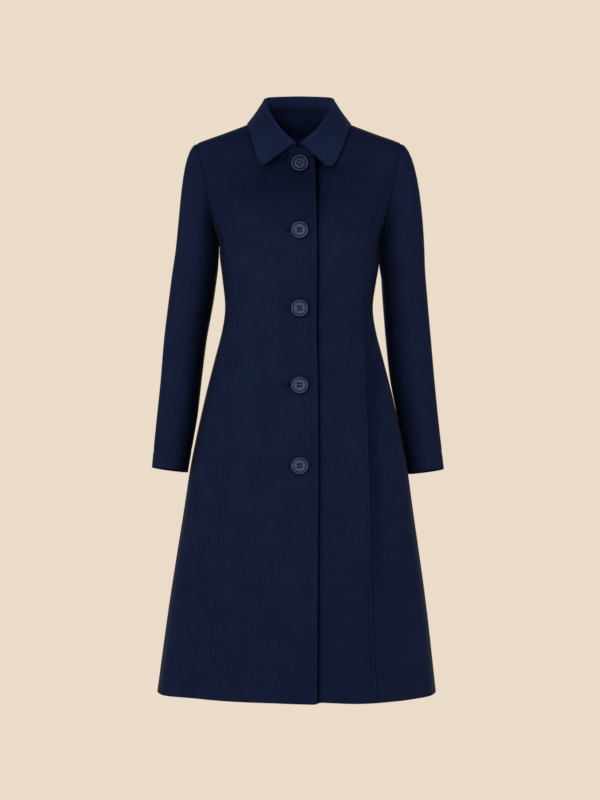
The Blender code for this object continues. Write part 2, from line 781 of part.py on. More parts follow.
def add_button(name, place, material):
    """Button turned from its profile, with four thread holes, seated on the right front."""
    bm = bmesh.new()
    verts = [bm.verts.new((point.radius, 0.0, point.height)) for point in BUTTON_PROFILE]
    edges = [bm.edges.new(pair) for pair in zip(verts, verts[1:])]
    bmesh.ops.spin(
        bm, geom=verts + edges, cent=(0, 0, 0), axis=(0, 0, 1), angle=2.0 * math.pi,
        steps=BUTTON_FACETS, use_merge=True, use_duplicate=False,
    )
    bmesh.ops.remove_doubles(bm, verts=bm.verts, dist=MERGE_DISTANCE)
    button = add_object(name, bm, material)
    cutter_bm = bmesh.new()
    for x in (-HOLE_OFFSET, HOLE_OFFSET):
        for y in (-HOLE_OFFSET, HOLE_OFFSET):
            bmesh.ops.create_cone(
                cutter_bm, cap_ends=True, segments=HOLE_FACETS, radius1=HOLE_RADIUS,
                radius2=HOLE_RADIUS, depth=HOLE_LENGTH, matrix=Matrix.Translation((x, y, 0.0)),
            )
    cutter = add_object(name + "_holes", cutter_bm, material)
    cut = button.modifiers.new("thread holes", "BOOLEAN")
    cut.operation = "DIFFERENCE"
    cut.solver = "EXACT"
    cut.object = cutter
    bpy.context.view_layer.update()
    cut_mesh = bpy.data.meshes.new_from_object(button.evaluated_get(bpy.context.evaluated_depsgraph_get()))
    button.modifiers.clear()
    button.data = cut_mesh
    bpy.data.objects.remove(cutter)
    angle = angle_at(BUTTON_X, place.height, behind=False)
    normal = form_normal(angle, place.height)
    seat = form_point(angle, place.height) + normal * (LAP_LIFT + place.seat)
    turn = Matrix.Rotation(math.radians(place.turn), 4, "Z")
    facing = normal.to_track_quat("Z", "Y").to_matrix().to_4x4()
    button.matrix_world = Matrix.Translation(seat) @ facing @ turn
    return button


def add_panel(name, grid, wall_of, lift_of, material):
    outer, inner = form_wall(grid, wall_of, lift_of)
    add_wall(name, pull_in(outer, SEAM_GAP / 2.0), pull_in(inner, SEAM_GAP / 2.0), material)


def main():
    for old in list(bpy.data.objects):
        bpy.data.objects.remove(old)
    wool = make_material("navy wool", WOOL_COLOUR, WOOL_ROUGHNESS)
    resin = make_material("navy button resin", BUTTON_COLOUR, BUTTON_ROUGHNESS)
    add_panel("front_right", front_panel(-1.0), front_wall, lap_lift, wool)
    add_panel("front_left", front_panel(1.0), front_wall, no_lift, wool)
    for label, side in (("right", -1.0), ("left", 1.0)):
        add_panel(f"side_front_{label}", side_panel(side), plain_wall, no_lift, wool)
        add_panel(f"back_{label}", back_panel(side), plain_wall, no_lift, wool)
    add_sleeve(RIGHT_SLEEVE, -1.0, "right", wool)
    add_sleeve(LEFT_SLEEVE, 1.0, "left", wool)
    add_collar(wool)
    for number, place in enumerate(BUTTON_PLACES, start=1):
        add_button(f"button_{number}", place, resin)


main()
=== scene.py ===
"""Long single-breasted wool coat, filled out and empty, dressed over its fixed frame.

Metres, +Z up. The front faces -Y and the wearer's left is +X. The origin is the
middle of the neck opening at the level where the shoulder seams meet the neck.
"""

import math
from collections import namedtuple

import bmesh
import bpy
import numpy as np
from bpy.props import FloatProperty, FloatVectorProperty, PointerProperty
from mathutils import Matrix, Vector


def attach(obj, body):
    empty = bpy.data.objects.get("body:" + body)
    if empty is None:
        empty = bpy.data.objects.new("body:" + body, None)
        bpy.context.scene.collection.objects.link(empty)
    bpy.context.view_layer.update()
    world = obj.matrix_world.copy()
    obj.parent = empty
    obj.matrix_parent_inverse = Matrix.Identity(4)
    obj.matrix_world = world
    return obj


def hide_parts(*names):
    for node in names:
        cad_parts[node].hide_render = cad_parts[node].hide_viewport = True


bl_info = {
    "name": "Long wool coat",
    "version": (1, 0, 0),
    "blender": (4, 5, 0),
    "location": "3D View > Sidebar > Coat",
    "description": "Makes a long wool coat and its stage, piece by piece",
    "category": "Object",
}

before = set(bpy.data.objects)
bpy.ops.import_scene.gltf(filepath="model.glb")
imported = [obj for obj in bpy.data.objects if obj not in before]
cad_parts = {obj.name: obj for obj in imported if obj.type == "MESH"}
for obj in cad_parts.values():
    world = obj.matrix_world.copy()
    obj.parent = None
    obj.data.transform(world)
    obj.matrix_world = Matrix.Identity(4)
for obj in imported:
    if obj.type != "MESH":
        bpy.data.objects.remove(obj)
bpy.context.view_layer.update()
BODY = "root"
SIDES = (("right", -1), ("left", 1))


def table(columns, *rows):
    """Rows of values under named columns."""
    row = namedtuple("Row", columns)
    return tuple(row(*values) for values in rows)


# Key heights of the coat
HEM = -1.088
WAIST = -0.360
UNDERARM = -0.240
SHOULDER_TIP = -0.049
NECK_POINT = -0.002

# Closure: the right front laps over the left front
SEAM_GAP = 0.0004
LAP_REACH = 0.0335
LAP_LIFT = 0.0044
LAP_FLAT_END = 0.038
LAP_RAMP_END = 0.068

# Sections of the body and skirt, from the hem up
BODY_SECTIONS = table(
    "height half_width front_depth back_depth sway",
    (-1.150, 0.2720, 0.2215, 0.2060, -0.0053),
    (-1.088, 0.2645, 0.2135, 0.2000, -0.0046),
    (-0.916, 0.2430, 0.1890, 0.1800, -0.0025),
    (-0.745, 0.2176, 0.1670, 0.1620, -0.0010),
    (-0.650, 0.2035, 0.1565, 0.1510, -0.0004),
    (-0.536, 0.1795, 0.1430, 0.1360, 0.0),
    (-0.460, 0.1605, 0.1310, 0.1200, 0.0),
    (-0.403, 0.1460, 0.1210, 0.1020, 0.0),
    (-0.360, 0.1408, 0.1170, 0.0930, 0.0),
    (-0.308, 0.1462, 0.1230, 0.0960, 0.0008),
    (-0.280, 0.1492, 0.1290, 0.1010, 0.0008),
    (-0.240, 0.1525, 0.1335, 0.1080, 0.0004),
    (-0.200, 0.1710, 0.1325, 0.1140, 0.0),
    (-0.165, 0.1900, 0.1290, 0.1165, 0.0),
    (-0.130, 0.2040, 0.1210, 0.1160, 0.0),
    (-0.095, 0.2130, 0.1070, 0.1120, 0.0),
    (-0.075, 0.2140, 0.0975, 0.1075, 0.0),
    (-0.060, 0.2080, 0.0890, 0.1030, 0.0),
    (-0.049, 0.1935, 0.0820, 0.0985, 0.0),
    (-0.030, 0.1420, 0.0620, 0.0920, 0.0),
    (-0.0133, 0.0985, 0.0385, 0.0840, 0.0),
    (-0.002, 0.0720, 0.0200, 0.0780, 0.0),
    (0.006, 0.0520, 0.0100, 0.0740, 0.0),
)

# Soft folds of the skirt: ridges have a positive lift, troughs a negative one
FOLD_MID = -0.640
FOLDS = table(
    "angle spread start lift_mid lift_hem",
    (-24.0, 9.0, -0.420, 0.0025, 0.0040),
    (-47.0, 8.0, -0.400, -0.0030, -0.0050),
    (-66.0, 9.0, -0.420, 0.0025, 0.0050),
    (33.0, 7.0, -0.360, 0.0045, 0.0040),
    (48.0, 6.5, -0.360, -0.0065, 0.0030),
    (66.0, 9.0, -0.420, 0.0030, 0.0050),
    (116.0, 9.0, -0.450, 0.0030, 0.0070),
    (139.0, 8.0, -0.430, -0.0040, -0.0080),
    (161.0, 8.0, -0.430, 0.0035, 0.0065),
    (-114.0, 9.0, -0.450, 0.0030, 0.0065),
    (-137.0, 8.0, -0.430, -0.0045, -0.0085),
    (-160.0, 8.0, -0.430, 0.0035, 0.0070),
)

# Creases of the body cloth: from their upper to their lower end, seen square on
CREASE_COLUMNS = "top_x top_z low_x low_z spread depth"
CREASE_END = 0.02
CREASE_FULLNESS = 0.7
FRONT_CREASES = table(
    CREASE_COLUMNS,
    (-0.088, -0.350, -0.080, -0.640, 0.017, 0.0022),
    (-0.058, -0.400, -0.052, -0.720, 0.015, -0.0018),
    (-0.092, -0.860, -0.104, -1.085, 0.013, 0.0018),
    (-0.064, -0.740, -0.072, -1.060, 0.020, -0.0022),
    (-0.160, -0.200, -0.122, -0.262, 0.010, -0.0011),
    (-0.150, -0.225, -0.100, -0.292, 0.009, -0.0007),
    (0.078, -0.700, 0.083, -1.060, 0.017, 0.0020),
    (0.060, -0.380, 0.066, -0.560, 0.014, 0.0016),
    (0.157, -0.196, 0.124, -0.250, 0.011, -0.0012),
    (0.154, -0.205, 0.146, -0.310, 0.018, 0.0026),
    (-0.154, -0.205, -0.147, -0.285, 0.018, 0.0018),
    (0.196, -0.760, 0.212, -1.050, 0.013, -0.0014),
    (-0.190, -0.700, -0.214, -1.060, 0.014, 0.0014),
)
BACK_CREASES = table(
    CREASE_COLUMNS,
    (-0.070, -0.342, 0.030, -0.352, 0.009, -0.0024),
    (0.010, -0.366, 0.088, -0.360, 0.008, -0.0020),
    (-0.052, -0.380, 0.006, -0.386, 0.007, -0.0013),
    (-0.122, -0.190, -0.098, -0.320, 0.012, -0.0020),
    (0.126, -0.185, 0.106, -0.300, 0.013, -0.0023),
    (-0.060, -0.520, -0.074, -0.900, 0.018, 0.0024),
    (0.052, -0.560, 0.080, -1.000, 0.020, 0.0022),
    (0.120, -0.640, 0.150, -1.040, 0.016, -0.0022),
    (-0.030, -0.060, 0.034, -0.064, 0.009, -0.0009),
)

# Patches that paint light and shade into the cloth's colour, seen square on: a darker chest,
# darker patches low on the skirt, lighter and darker bands on the fronts, and shade beside the
# buttonholes
PATCH_COLUMNS = "x z half_width half_height gain"
FRONT_PAINTED_PATCHES = table(
    PATCH_COLUMNS,
    (-0.020, -0.135, 0.170, 0.062, -0.38),
    (0.130, -0.930, 0.060, 0.200, -0.13),
    (-0.160, -0.940, 0.055, 0.180, -0.10),
    (0.000, -1.040, 0.110, 0.110, -0.10),
    (-0.084, -0.510, 0.012, 0.150, 0.05),
    (-0.063, -0.540, 0.009, 0.130, -0.03),
    (-0.040, -0.405, 0.008, 0.045, 0.06),
    (0.052, -0.290, 0.060, 0.060, 0.05),
    # Painted shade beside the buttonholes of the second, third and fourth buttons
    (-0.0185, -0.2215, 0.0050, 0.0042, -0.28),
    (-0.0245, -0.3660, 0.0050, 0.0045, -0.22),
    (-0.0205, -0.5110, 0.0050, 0.0050, -0.30),
)
# Painted shade on the left side front along its princess seam
SIDE_PAINTED_SHADE = table(
    PATCH_COLUMNS,
    (0.134, -0.610, 0.016, 0.250, -0.40),
)

# Painted shadows of the collar on the chest, below the front edges of both collar ends and beside
# the outer edge of the right one: lines seen square on, with their gain
COLLAR_PAINTED_SHADOWS = table(
    CREASE_COLUMNS,
    (-0.002, -0.069, -0.066, -0.111, 0.0085, -0.46),
    (0.008, -0.068, 0.060, -0.114, 0.0070, -0.38),
    (-0.101, -0.010, -0.068, -0.108, 0.006, -0.32),
)

# Painted light and shade in the collar's colour, where 1 is the body's: a lighter fall, painted
# highlights along the roll and on the crest, painted shade at the ends, a lighter leg and a darker
# stand inside the neck, and painted light at the stand's ends and at the sides inside the collar
COLLAR_TONE = 1.32
ROLL_TONE = 0.16
ROLL_TONE_REACH = 0.016
CREST_TONE = 0.30
CREST_TONE_START = 0.004
CREST_TONE_END = 0.034
COLLAR_END_TONE = -0.30
COLLAR_END_REACH = 0.0060
COLLAR_LEG_TONE = 1.42
COLLAR_LEG_LOW_TONE = 1.16
STAND_TOP_TONE = 0.80
STAND_LOW_TONE = 0.72
STAND_END_TONE = 0.80
STAND_END_REACH = 0.010
INSIDE_TONE = 0.50
INSIDE_TONE_START = 0.030
INSIDE_TONE_END = 0.056

# Painted light and shade in the cloth's colour: a painted highlight on the ridges beside the
# princess seams, painted shade along stitching, seams and tucks, inside the back neck, in the gap
# beside the lapped front edge and on the inner sides of the sleeves, a painted highlight along the
# sleeves' inner edges, and painted shadows round the buttons
RIGHT_RIDGE_TONE = 0.16
LEFT_RIDGE_TONE = 0.07
RIDGE_PLACE = 0.0028
RIDGE_SPREAD = 0.0020
STITCH_TONE = -0.14
SEAM_TONE = -0.28
SEAM_TONE_SPREAD = 0.0026
SIDE_SEAM_SHARE = 0.5
BACK_SEAM_SHARE = 0.6
# Painted shade inside the back neck and under the back of the collar, by height
NECK_PAINTED_SHADE = table(
    "height gain",
    (HEM, 0.0),
    (-0.048, 0.0),
    (-0.036, -0.22),
    (-0.025, -0.46),
    (-0.015, -0.43),
    (-0.008, -0.20),
    (NECK_POINT, -0.04),
)
NECK_TONE_NEAR = 0.040
NECK_TONE_FAR = 0.066
CENTRE_SEAM_START = -0.060
CENTRE_SEAM_FULL = -0.110
TUCK_TONE = -0.20
TUCK_TONE_SPREAD = 0.0032
# Painted shade in the gap beside the lapped front edge, stronger near the top
UNDERLAP_TONE = -0.35
UNDERLAP_TOP_TONE = -0.30
# Painted shade on the inner sides of the sleeves, and a painted highlight along their inner edges
SLEEVE_INSIDE_TONE = -0.72
SLEEVE_INSIDE_START = 95.0
SLEEVE_INSIDE_END = 150.0
SLEEVE_RIM_TONE = 0.34
SLEEVE_RIM_START = 146.0
SLEEVE_RIM_END = 172.0
SLEEVE_TONE_LEAST = 0.2
# Painted shadows round the buttons
PAINTED_BUTTON_SHADOW = -0.22
HALO_START = 0.0155
HALO_WIDTH = 0.0080

# Uneven hang of the front hem: drop below the level hem at a place across
FRONT_HANG = table(
    "x drop",
    (-0.270, 0.0),
    (-0.210, 0.0012),
    (-0.120, 0.0012),
    (-0.050, 0.0),
    (0.010, -0.0018),
    (0.0315, -0.0020),
    (0.0365, 0.0008),
    (0.060, -0.0002),
    (0.105, -0.0030),
    (0.165, -0.0028),
    (0.210, -0.0020),
    (0.270, 0.0),
)
HANG_REACH = 0.16

# Rows shared by all panels from the hem to the waist
SKIRT_HEIGHTS = (
    HEM, -1.020, -0.950, -0.880, -0.810, -0.740, -0.670,
    -0.600, -0.540, -0.485, -0.437, -0.396, WAIST,
)

# Edge of the right front: how far it reaches past the centre front
FRONT_EDGE = table(
    "height reach",
    (-1.090, 0.0316),
    (-0.950, 0.0324),
    (-0.800, 0.0334),
    (-0.647, 0.0346),
    (-0.573, 0.0339),
    (-0.499, 0.0331),
    (-0.425, 0.0309),
    (-0.350, 0.0311),
    (-0.221, 0.0309),
    (-0.147, 0.0297),
    (-0.105, 0.0281),
)

# Princess seam: reach from the centre front on either side
PRINCESS_SEAM = table(
    "height right_reach left_reach",
    (-1.090, 0.1655, 0.1410),
    (-0.960, 0.1572, 0.1335),
    (-0.830, 0.1478, 0.1303),
    (-0.690, 0.1405, 0.1285),
    (-0.540, 0.1310, 0.1277),
    (-0.450, 0.1236, 0.1240),
    (-0.360, 0.1175, 0.1200),
    (-0.280, 0.1180, 0.1210),
    (-0.237, 0.1225, 0.1265),
    (-0.197, 0.1300, 0.1375),
    (-0.170, 0.1400, 0.1490),
    (-0.145, 0.1540, 0.1630),
    (-0.118, 0.1775, 0.1775),
)

# Bodice rows above the waist: heights on the three long edges of the front and side
BODICE_ROWS = table(
    "princess side front_edge",
    (-0.325, -0.344, -0.323),
    (-0.290, -0.328, -0.285),
    (-0.257, -0.312, -0.247),
    (-0.226, -0.297, -0.209),
    (-0.197, -0.282, -0.172),
    (-0.169, -0.267, -0.137),
    (-0.142, -0.253, -0.105),
)

# Row, counted in pattern points, where the princess seam meets the armhole
CORNER_ROW = len(SKIRT_HEIGHTS) + len(BODICE_ROWS)

# Outline points of the pattern: reach from the centre line at a height
OUTLINE_COLUMNS = "reach height"
FRONT_ARMHOLE = table(
    OUTLINE_COLUMNS,
    (0.1775, -0.118),
    (0.1805, -0.104),
    (0.1840, -0.090),
    (0.1870, -0.076),
    (0.1900, -0.064),
    (0.1922, -0.0555),
    (0.1932, -0.0515),
    (0.1938, -0.0497),
)
SIDE_ARMHOLE = table(
    OUTLINE_COLUMNS,
    (0.1748, -0.140),
    (0.1710, -0.162),
    (0.1665, -0.184),
    (0.1610, -0.205),
    (0.1555, -0.224),
    (0.1522, -0.236),
)
BACK_ARMHOLE = table(
    OUTLINE_COLUMNS,
    (0.1527, -0.2365),
    (0.1549, -0.224),
    (0.1592, -0.203),
    (0.1669, -0.175),
    (0.1735, -0.145),
    (0.1792, -0.115),
    (0.1855, -0.088),
    (0.1900, -0.069),
    (0.1922, -0.0575),
    (0.1933, -0.0515),
)
FRONT_NECKLINE = table(
    OUTLINE_COLUMNS,
    (-0.0248, -0.0815),
    (-0.0175, -0.0715),
    (0.0000, -0.0675),
    (0.0220, -0.0615),
    (0.0430, -0.0490),
    (0.0580, -0.0320),
    (0.0668, -0.0160),
    (0.0706, -0.0070),
)
BACK_CENTRE_HEIGHTS = (
    -0.346, -0.333, -0.321, -0.309, -0.298, -0.288, -0.279, -0.270,
    -0.225, -0.175, -0.120, -0.062, NECK_POINT,
)
BACK_NECK_ANGLES = (24.0, 44.0, 60.0, 72.0, 82.0)

# Fineness of the cloth: steps between pattern points, and rows kept close to the hem
ROW_PARTS = 5
FRONT_ROW_PARTS = 10
LOOP_PARTS = 4
HEM_ROWS = (0.0, 0.002, 0.005, 0.010, 0.017, 0.024, 0.029, 0.032, 0.035, 0.038, 0.042, 0.048, 0.057)
SEAM_COLUMNS = (0.0, 0.0014, 0.0028, 0.0045, 0.0065, 0.0100)
TUCKED_COLUMNS = (-0.0040, -0.0020) + SEAM_COLUMNS
BACK_CENTRE_COLUMNS = (-0.0008,) + SEAM_COLUMNS
FELLED_COLUMNS = (0.0, 0.0018, 0.0036, 0.0050, 0.0058, 0.0065, 0.0072, 0.0080, 0.0095, 0.0130)
FRONT_EDGE_COLUMNS = (0.0, 0.0018, 0.0040, 0.0075, 0.0108, 0.0120, 0.0130, 0.0140, 0.0152, 0.0185)
MIDDLE_COLUMNS = 34

# Relief of seams and stitched lines
SEAM_DIP = 0.0010
FRONT_SLEEVE_SEAM_SHARE = 0.25
SEAM_ROLL = 0.0060
SEAM_OVERLAP = 0.00035
ARMHOLE_FADE = 0.020
TUCK_DEPTH = 0.0024
TUCK_REACH = 0.0065
FELLED_RISE = 0.0011
STITCH_DIP = 0.0010
STITCH_SPREAD = 0.0012
FRONT_STITCH_FAINT = -1.040
FRONT_STITCH_FULL = -0.640
EDGE_FLARE = 0.0036
TOP_FLARE = 0.0060
TOP_FLARE_START = -0.230
TOP_FLARE_END = -0.090
EDGE_FLARE_REACH = 0.024
NECK_FLARE_ROWS = 2.0
UNDERLAP_DIP = 0.0048
UNDERLAP_PLACE = 0.0340
UNDERLAP_SPREAD = 0.0050
HEM_FOLD = 0.035
HEM_FOLD_DIP = 0.0003
HEM_FOLD_SPREAD = 0.0028
HEM_FOLD_EVENNESS = 0.6
HEM_FOLD_WAVE = 37.0
HEM_FOLD_PHASE = 1.3

# Sleeves from the cuff up: reach of the outer and inner edge, middle and half depth
SLEEVE_COLUMNS = "height outer inner middle half_depth"
RIGHT_SLEEVE = table(
    SLEEVE_COLUMNS,
    (-0.668, 0.2785, 0.2080, -0.021, 0.0470),
    (-0.574, 0.2700, 0.1930, -0.011, 0.0490),
    (-0.498, 0.2628, 0.1846, -0.003, 0.0515),
    (-0.422, 0.2568, 0.1752, 0.003, 0.0540),
    (-0.346, 0.2477, 0.1618, 0.004, 0.0580),
    (-0.280, 0.2388, 0.1535, 0.003, 0.0615),
    (-0.200, 0.2240, 0.1490, 0.002, 0.0630),
)
LEFT_SLEEVE = table(
    SLEEVE_COLUMNS,
    (-0.672, 0.2760, 0.2075, 0.012, 0.0470),
    (-0.574, 0.2655, 0.1885, 0.014, 0.0490),
    (-0.498, 0.2582, 0.1735, 0.014, 0.0515),
    (-0.422, 0.2515, 0.1650, 0.012, 0.0540),
    (-0.346, 0.2447, 0.1590, 0.009, 0.0580),
    (-0.280, 0.2395, 0.1555, 0.006, 0.0615),
    (-0.200, 0.2375, 0.1500, 0.003, 0.0630),
)
ARM_TOP = -0.280
CAP_STEPS = (0.0, 0.012, 0.03, 0.06, 0.10, 0.16, 0.24, 0.32, 0.41, 0.50, 0.60, 0.70, 0.80, 0.90)
ARM_ROWS = 44
CUFF_ROWS = (0.0, 0.002, 0.005, 0.010, 0.018, 0.026, 0.032, 0.035, 0.038, 0.041, 0.046)
CAP_SPRING = 0.13
CAP_SPRING_LEAST = 0.006
CAP_LEAN_TOP = (1.0, 0.0, -0.37)
CAP_LEAN_UNDERARM = (0.12, 0.0, -1.0)
CUFF_TILT_SIDE = 0.0045
CUFF_TILT_FRONT = 0.0035
CUFF_TILT_START = -0.480
CUFF_FOLD = 0.037
CUFF_FOLD_DIP = 0.0006
FRONT_SLEEVE_SEAM = 11
BACK_SLEEVE_SEAM = 19

# Creases of the sleeves, whose x counts degrees round from the outer edge by the front
SLEEVE_ROUND = 0.047
RIGHT_SLEEVE_CREASES = table(
    CREASE_COLUMNS,
    (165.0, -0.318, 70.0, -0.362, 0.010, -0.0024),
    (170.0, -0.372, 55.0, -0.402, 0.011, -0.0032),
    (175.0, -0.420, 80.0, -0.438, 0.009, -0.0022),
    (60.0, -0.420, 45.0, -0.560, 0.014, 0.0020),
    (110.0, -0.480, 75.0, -0.600, 0.012, -0.0019),
    (255.0, -0.390, 330.0, -0.365, 0.012, -0.0013),
    (30.0, -0.120, 22.0, -0.260, 0.015, 0.0010),
    (180.0, -0.195, 180.0, -0.272, 0.034, 0.0030),
    (175.0, -0.560, 175.0, -0.760, 0.030, -0.0022),
)
LEFT_SLEEVE_CREASES = table(
    CREASE_COLUMNS,
    (170.0, -0.270, 85.0, -0.322, 0.011, -0.0024),
    (172.0, -0.384, 62.0, -0.420, 0.010, -0.0030),
    (168.0, -0.452, 70.0, -0.470, 0.009, -0.0020),
    (92.0, -0.465, 86.0, -0.625, 0.012, 0.0026),
    (128.0, -0.500, 112.0, -0.640, 0.012, -0.0020),
    (60.0, -0.460, 52.0, -0.610, 0.013, -0.0018),
    (35.0, -0.540, 62.0, -0.552, 0.008, -0.0012),
    (250.0, -0.410, 325.0, -0.380, 0.012, -0.0013),
    (28.0, -0.130, 24.0, -0.280, 0.015, 0.0010),
    (180.0, -0.205, 180.0, -0.306, 0.034, 0.0038),
)

# Collar: roll line, outer edge on the body and neck seam, from centre front to centre back
COLLAR_ROWS = table(
    "roll_x roll_y roll_z roll_radius edge_x edge_z seam_x seam_z lean bulge",
    (0.0080, -0.1000, -0.0550, 0.0038, 0.0665, -0.1005, 0.0045, -0.0635, -0.30, 0.0050),
    (0.0200, -0.0945, -0.0440, 0.0040, 0.0715, -0.0895, 0.0150, -0.0612, -0.28, 0.0050),
    (0.0327, -0.0840, -0.0310, 0.0042, 0.0768, -0.0770, 0.0290, -0.0565, -0.26, 0.0050),
    (0.0440, -0.0670, -0.0145, 0.0045, 0.0830, -0.0610, 0.0420, -0.0485, -0.22, 0.0045),
    (0.0535, -0.0460, 0.0025, 0.0048, 0.0895, -0.0420, 0.0540, -0.0352, -0.20, 0.0030),
    (0.0608, -0.0220, 0.0195, 0.0050, 0.0948, -0.0245, 0.0650, -0.0182, -0.10, 0.0010),
    (0.0650, 0.0050, 0.0350, 0.0052, 0.0975, -0.0130, 0.0720, -0.0020, 0.0, -0.0005),
    (0.0610, 0.0320, 0.0422, 0.0052, 0.0885, -0.0165, 0.0653, -0.0020, 0.05, 0.0010),
    (0.0455, 0.0560, 0.0464, 0.0050, 0.0670, -0.0185, 0.0490, -0.0020, 0.08, 0.0030),
    (0.0235, 0.0705, 0.0488, 0.0048, 0.0355, -0.0200, 0.0255, -0.0020, 0.10, 0.0040),
    (0.0, 0.0755, 0.0498, 0.0048, 0.0, -0.0205, 0.0, -0.0020, 0.10, 0.0040),
)
SIGNED_COLUMNS = ("roll_x", "edge_x", "seam_x")
COLLAR_LAST = 2 * (len(COLLAR_ROWS) - 1)
CollarLines = namedtuple("CollarLines", "seam edge centre outward up bulge")
ROLL_TIGHTNESS = 0.6

# Collar ends are uneven: how far the tip lies out and down and the roll inward, fading row by row,
# and how far the front edge sags between roll and tip, from which share on
RIGHT_TIP, LEFT_TIP = table(
    "out down inward sag sag_start",
    (0.0041, 0.0039, 0.0, 0.0045, 0.45),
    (-0.0062, 0.0078, 0.0036, 0.0058, 0.62),
)
TIP_FADE = (1.0, 0.72, 0.44, 0.2, 0.05)
SAG_WAY = (0.62, -0.35, -0.785)
SAG_TIP_START = 0.85
SAG_TIP_LOSS = 0.7
SAG_ROWS = 3.0
SHOULDER_ROW = 6
SHOULDER_SPREAD = 0.3
STAND_SHARE = 0.55
STAND_PLACES = (0.0, 0.05, 0.12, 0.22, 0.36, 0.5, 0.64, 0.76, 0.85, 0.91, 0.96, 1.0)
LEG_PLACES = (0.0, 0.04, 0.09, 0.16, 0.26, 0.42, 0.6, 0.8)
STAND_INSET = 0.0002
STAND_OVERLAP = 0.0012
STAND_SEAM_DIP = 0.0014
STAND_SEAM_ROLL = 0.0035
ROLL_STEPS = 9
FALL_PLACES = (0.06, 0.12, 0.2, 0.28, 0.36, 0.44, 0.52, 0.6, 0.68, 0.75, 0.81, 0.86)
FALL_CLEARANCE = -0.0010
FALL_CLEARANCE_TIPS = 0.0018
TIP_ROW_LENGTH = 0.0121
TIP_FALL_LENGTH = 0.075
TIP_STEPS = 6
COLLAR_PARTS = 6

# Buttons: height, turn in degrees, clearance of the cloth, lean forward in degrees, length of the
# buttonhole, and whether the thread crosses over the face
BUTTON_PLACES = table(
    "height turn seat lean buttonhole crossed",
    (-0.1008, -30.0, 0.0022, 11.0, 0.0200, False),
    (-0.2220, 8.0, 0.0005, 0.0, 0.0276, True),
    (-0.3660, 14.0, 0.0013, 0.0, 0.0276, False),
    (-0.5100, 2.0, 0.0005, 0.0, 0.0276, False),
    (-0.6580, 5.0, 0.0005, 0.0, 0.0225, False),
)
BUTTON_X = 0.0012
BUTTON_SHANK = 0.0032
BUTTON_STEPS = 64
# Button profiles from the middle of the underside round the rim to the middle of the face; the tone column
# paints a highlight on the rim, shade in the groove, and light and shade on the face
PROFILE_COLUMNS = "radius height tone"
BUTTON_PROFILE = table(
    PROFILE_COLUMNS,
    (0.0, 0.0, 1.0),
    (0.0085, 0.0, 1.0),
    (0.0140, 0.0014, 1.0),
    (0.0151, 0.0024, 1.0),
    (0.0154, 0.0032, 1.0),
    (0.0151, 0.0040, 1.0),
    (0.0144, 0.0045, 1.06),
    (0.0137, 0.0046, 1.06),
    (0.0130, 0.0044, 1.0),
    (0.0126, 0.0039, 0.6),
    (0.0122, 0.0033, 0.12),
    (0.0115, 0.0033, 0.12),
    (0.0111, 0.0039, 0.6),
    (0.0105, 0.0043, 1.0),
    (0.0060, 0.0041, 0.96),
    (0.0, 0.0039, 0.86),
)
TOP_BUTTON_PROFILE = table(
    PROFILE_COLUMNS,
    (0.0, 0.0, 1.0),
    (0.0081, 0.0, 1.0),
    (0.0136, 0.0014, 1.0),
    (0.0147, 0.0024, 1.0),
    (0.0150, 0.0032, 1.0),
    (0.0149, 0.0041, 1.15),
    (0.0145, 0.0046, 1.3),
    (0.0140, 0.0047, 1.3),
    (0.0134, 0.0044, 1.0),
    (0.0129, 0.0034, 0.36),
    (0.0124, 0.0026, 0.17),
    (0.0111, 0.0025, 0.17),
    (0.0105, 0.0030, 0.34),
    (0.0099, 0.0036, 0.74),
    (0.0080, 0.0040, 0.70),
    (0.0022, 0.0038, 0.9),
    (0.0, 0.0037, 1.1),
)
# Painted shade, near black, on the walls of the thread holes
HOLE_PAINTED_SHADE = 0.02
PROFILE_PARTS = 3
HOLE_RADIUS = 0.0018
HOLE_OFFSET = 0.0026
HOLE_PLACES = [(x, y) for x in (-HOLE_OFFSET, HOLE_OFFSET) for y in (-HOLE_OFFSET, HOLE_OFFSET)]
HOLE_STEPS = 20
HOLE_LENGTH = 0.02
CROSSING_HEIGHT = 0.0042
CROSSING_WIDTH = 0.0012
PLUG_LOW = 0.0002
PLUG_TOP = 0.0010
PLUG_WIDTH = 0.00288
MERGE_DISTANCE = 0.00001
BUTTON_SHARP_ANGLE = 50.0

# Worked buttonholes: a slit that starts past the button's middle and ends in a round eye, edged with
# purl stitches
BUTTONHOLE_START = 0.002
BUTTONHOLE_HALF_GAP = 0.0009
BUTTONHOLE_EYE = 0.0021
BUTTONHOLE_PURL = 0.0018
BUTTONHOLE_PITCH = 0.0008
BUTTONHOLE_BEAD = 0.0010
BUTTONHOLE_RISE = 0.25
EYE_TURN = 150.0
EYE_STITCHES = 22

# Shape of one stitch, and rounding of cloth edges sharper than an angle
STITCH_FLATNESS = 0.4
STITCH_SIDES = 6
STITCH_RINGS = 5
EDGE_ANGLE = 55.0
EDGE_STEPS = 3

# Fields for a cloth piece's cut, laid flat
Cut = namedtuple("Cut", "width length area held rests_on")

# Camera, which looks level along +Y, and the floor
CAMERA_PLACE = (0.0019, -5.0, -0.536)
CAMERA_LENS = 118.4
CAMERA_SIGHT = 50.0
FLOOR_HEIGHT = -1.43
FLOOR_NEAR = -3.0
FLOOR_FAR = 0.84
FLOOR_HALF_WIDTH = 3.2
FLOOR_PARTS = 8

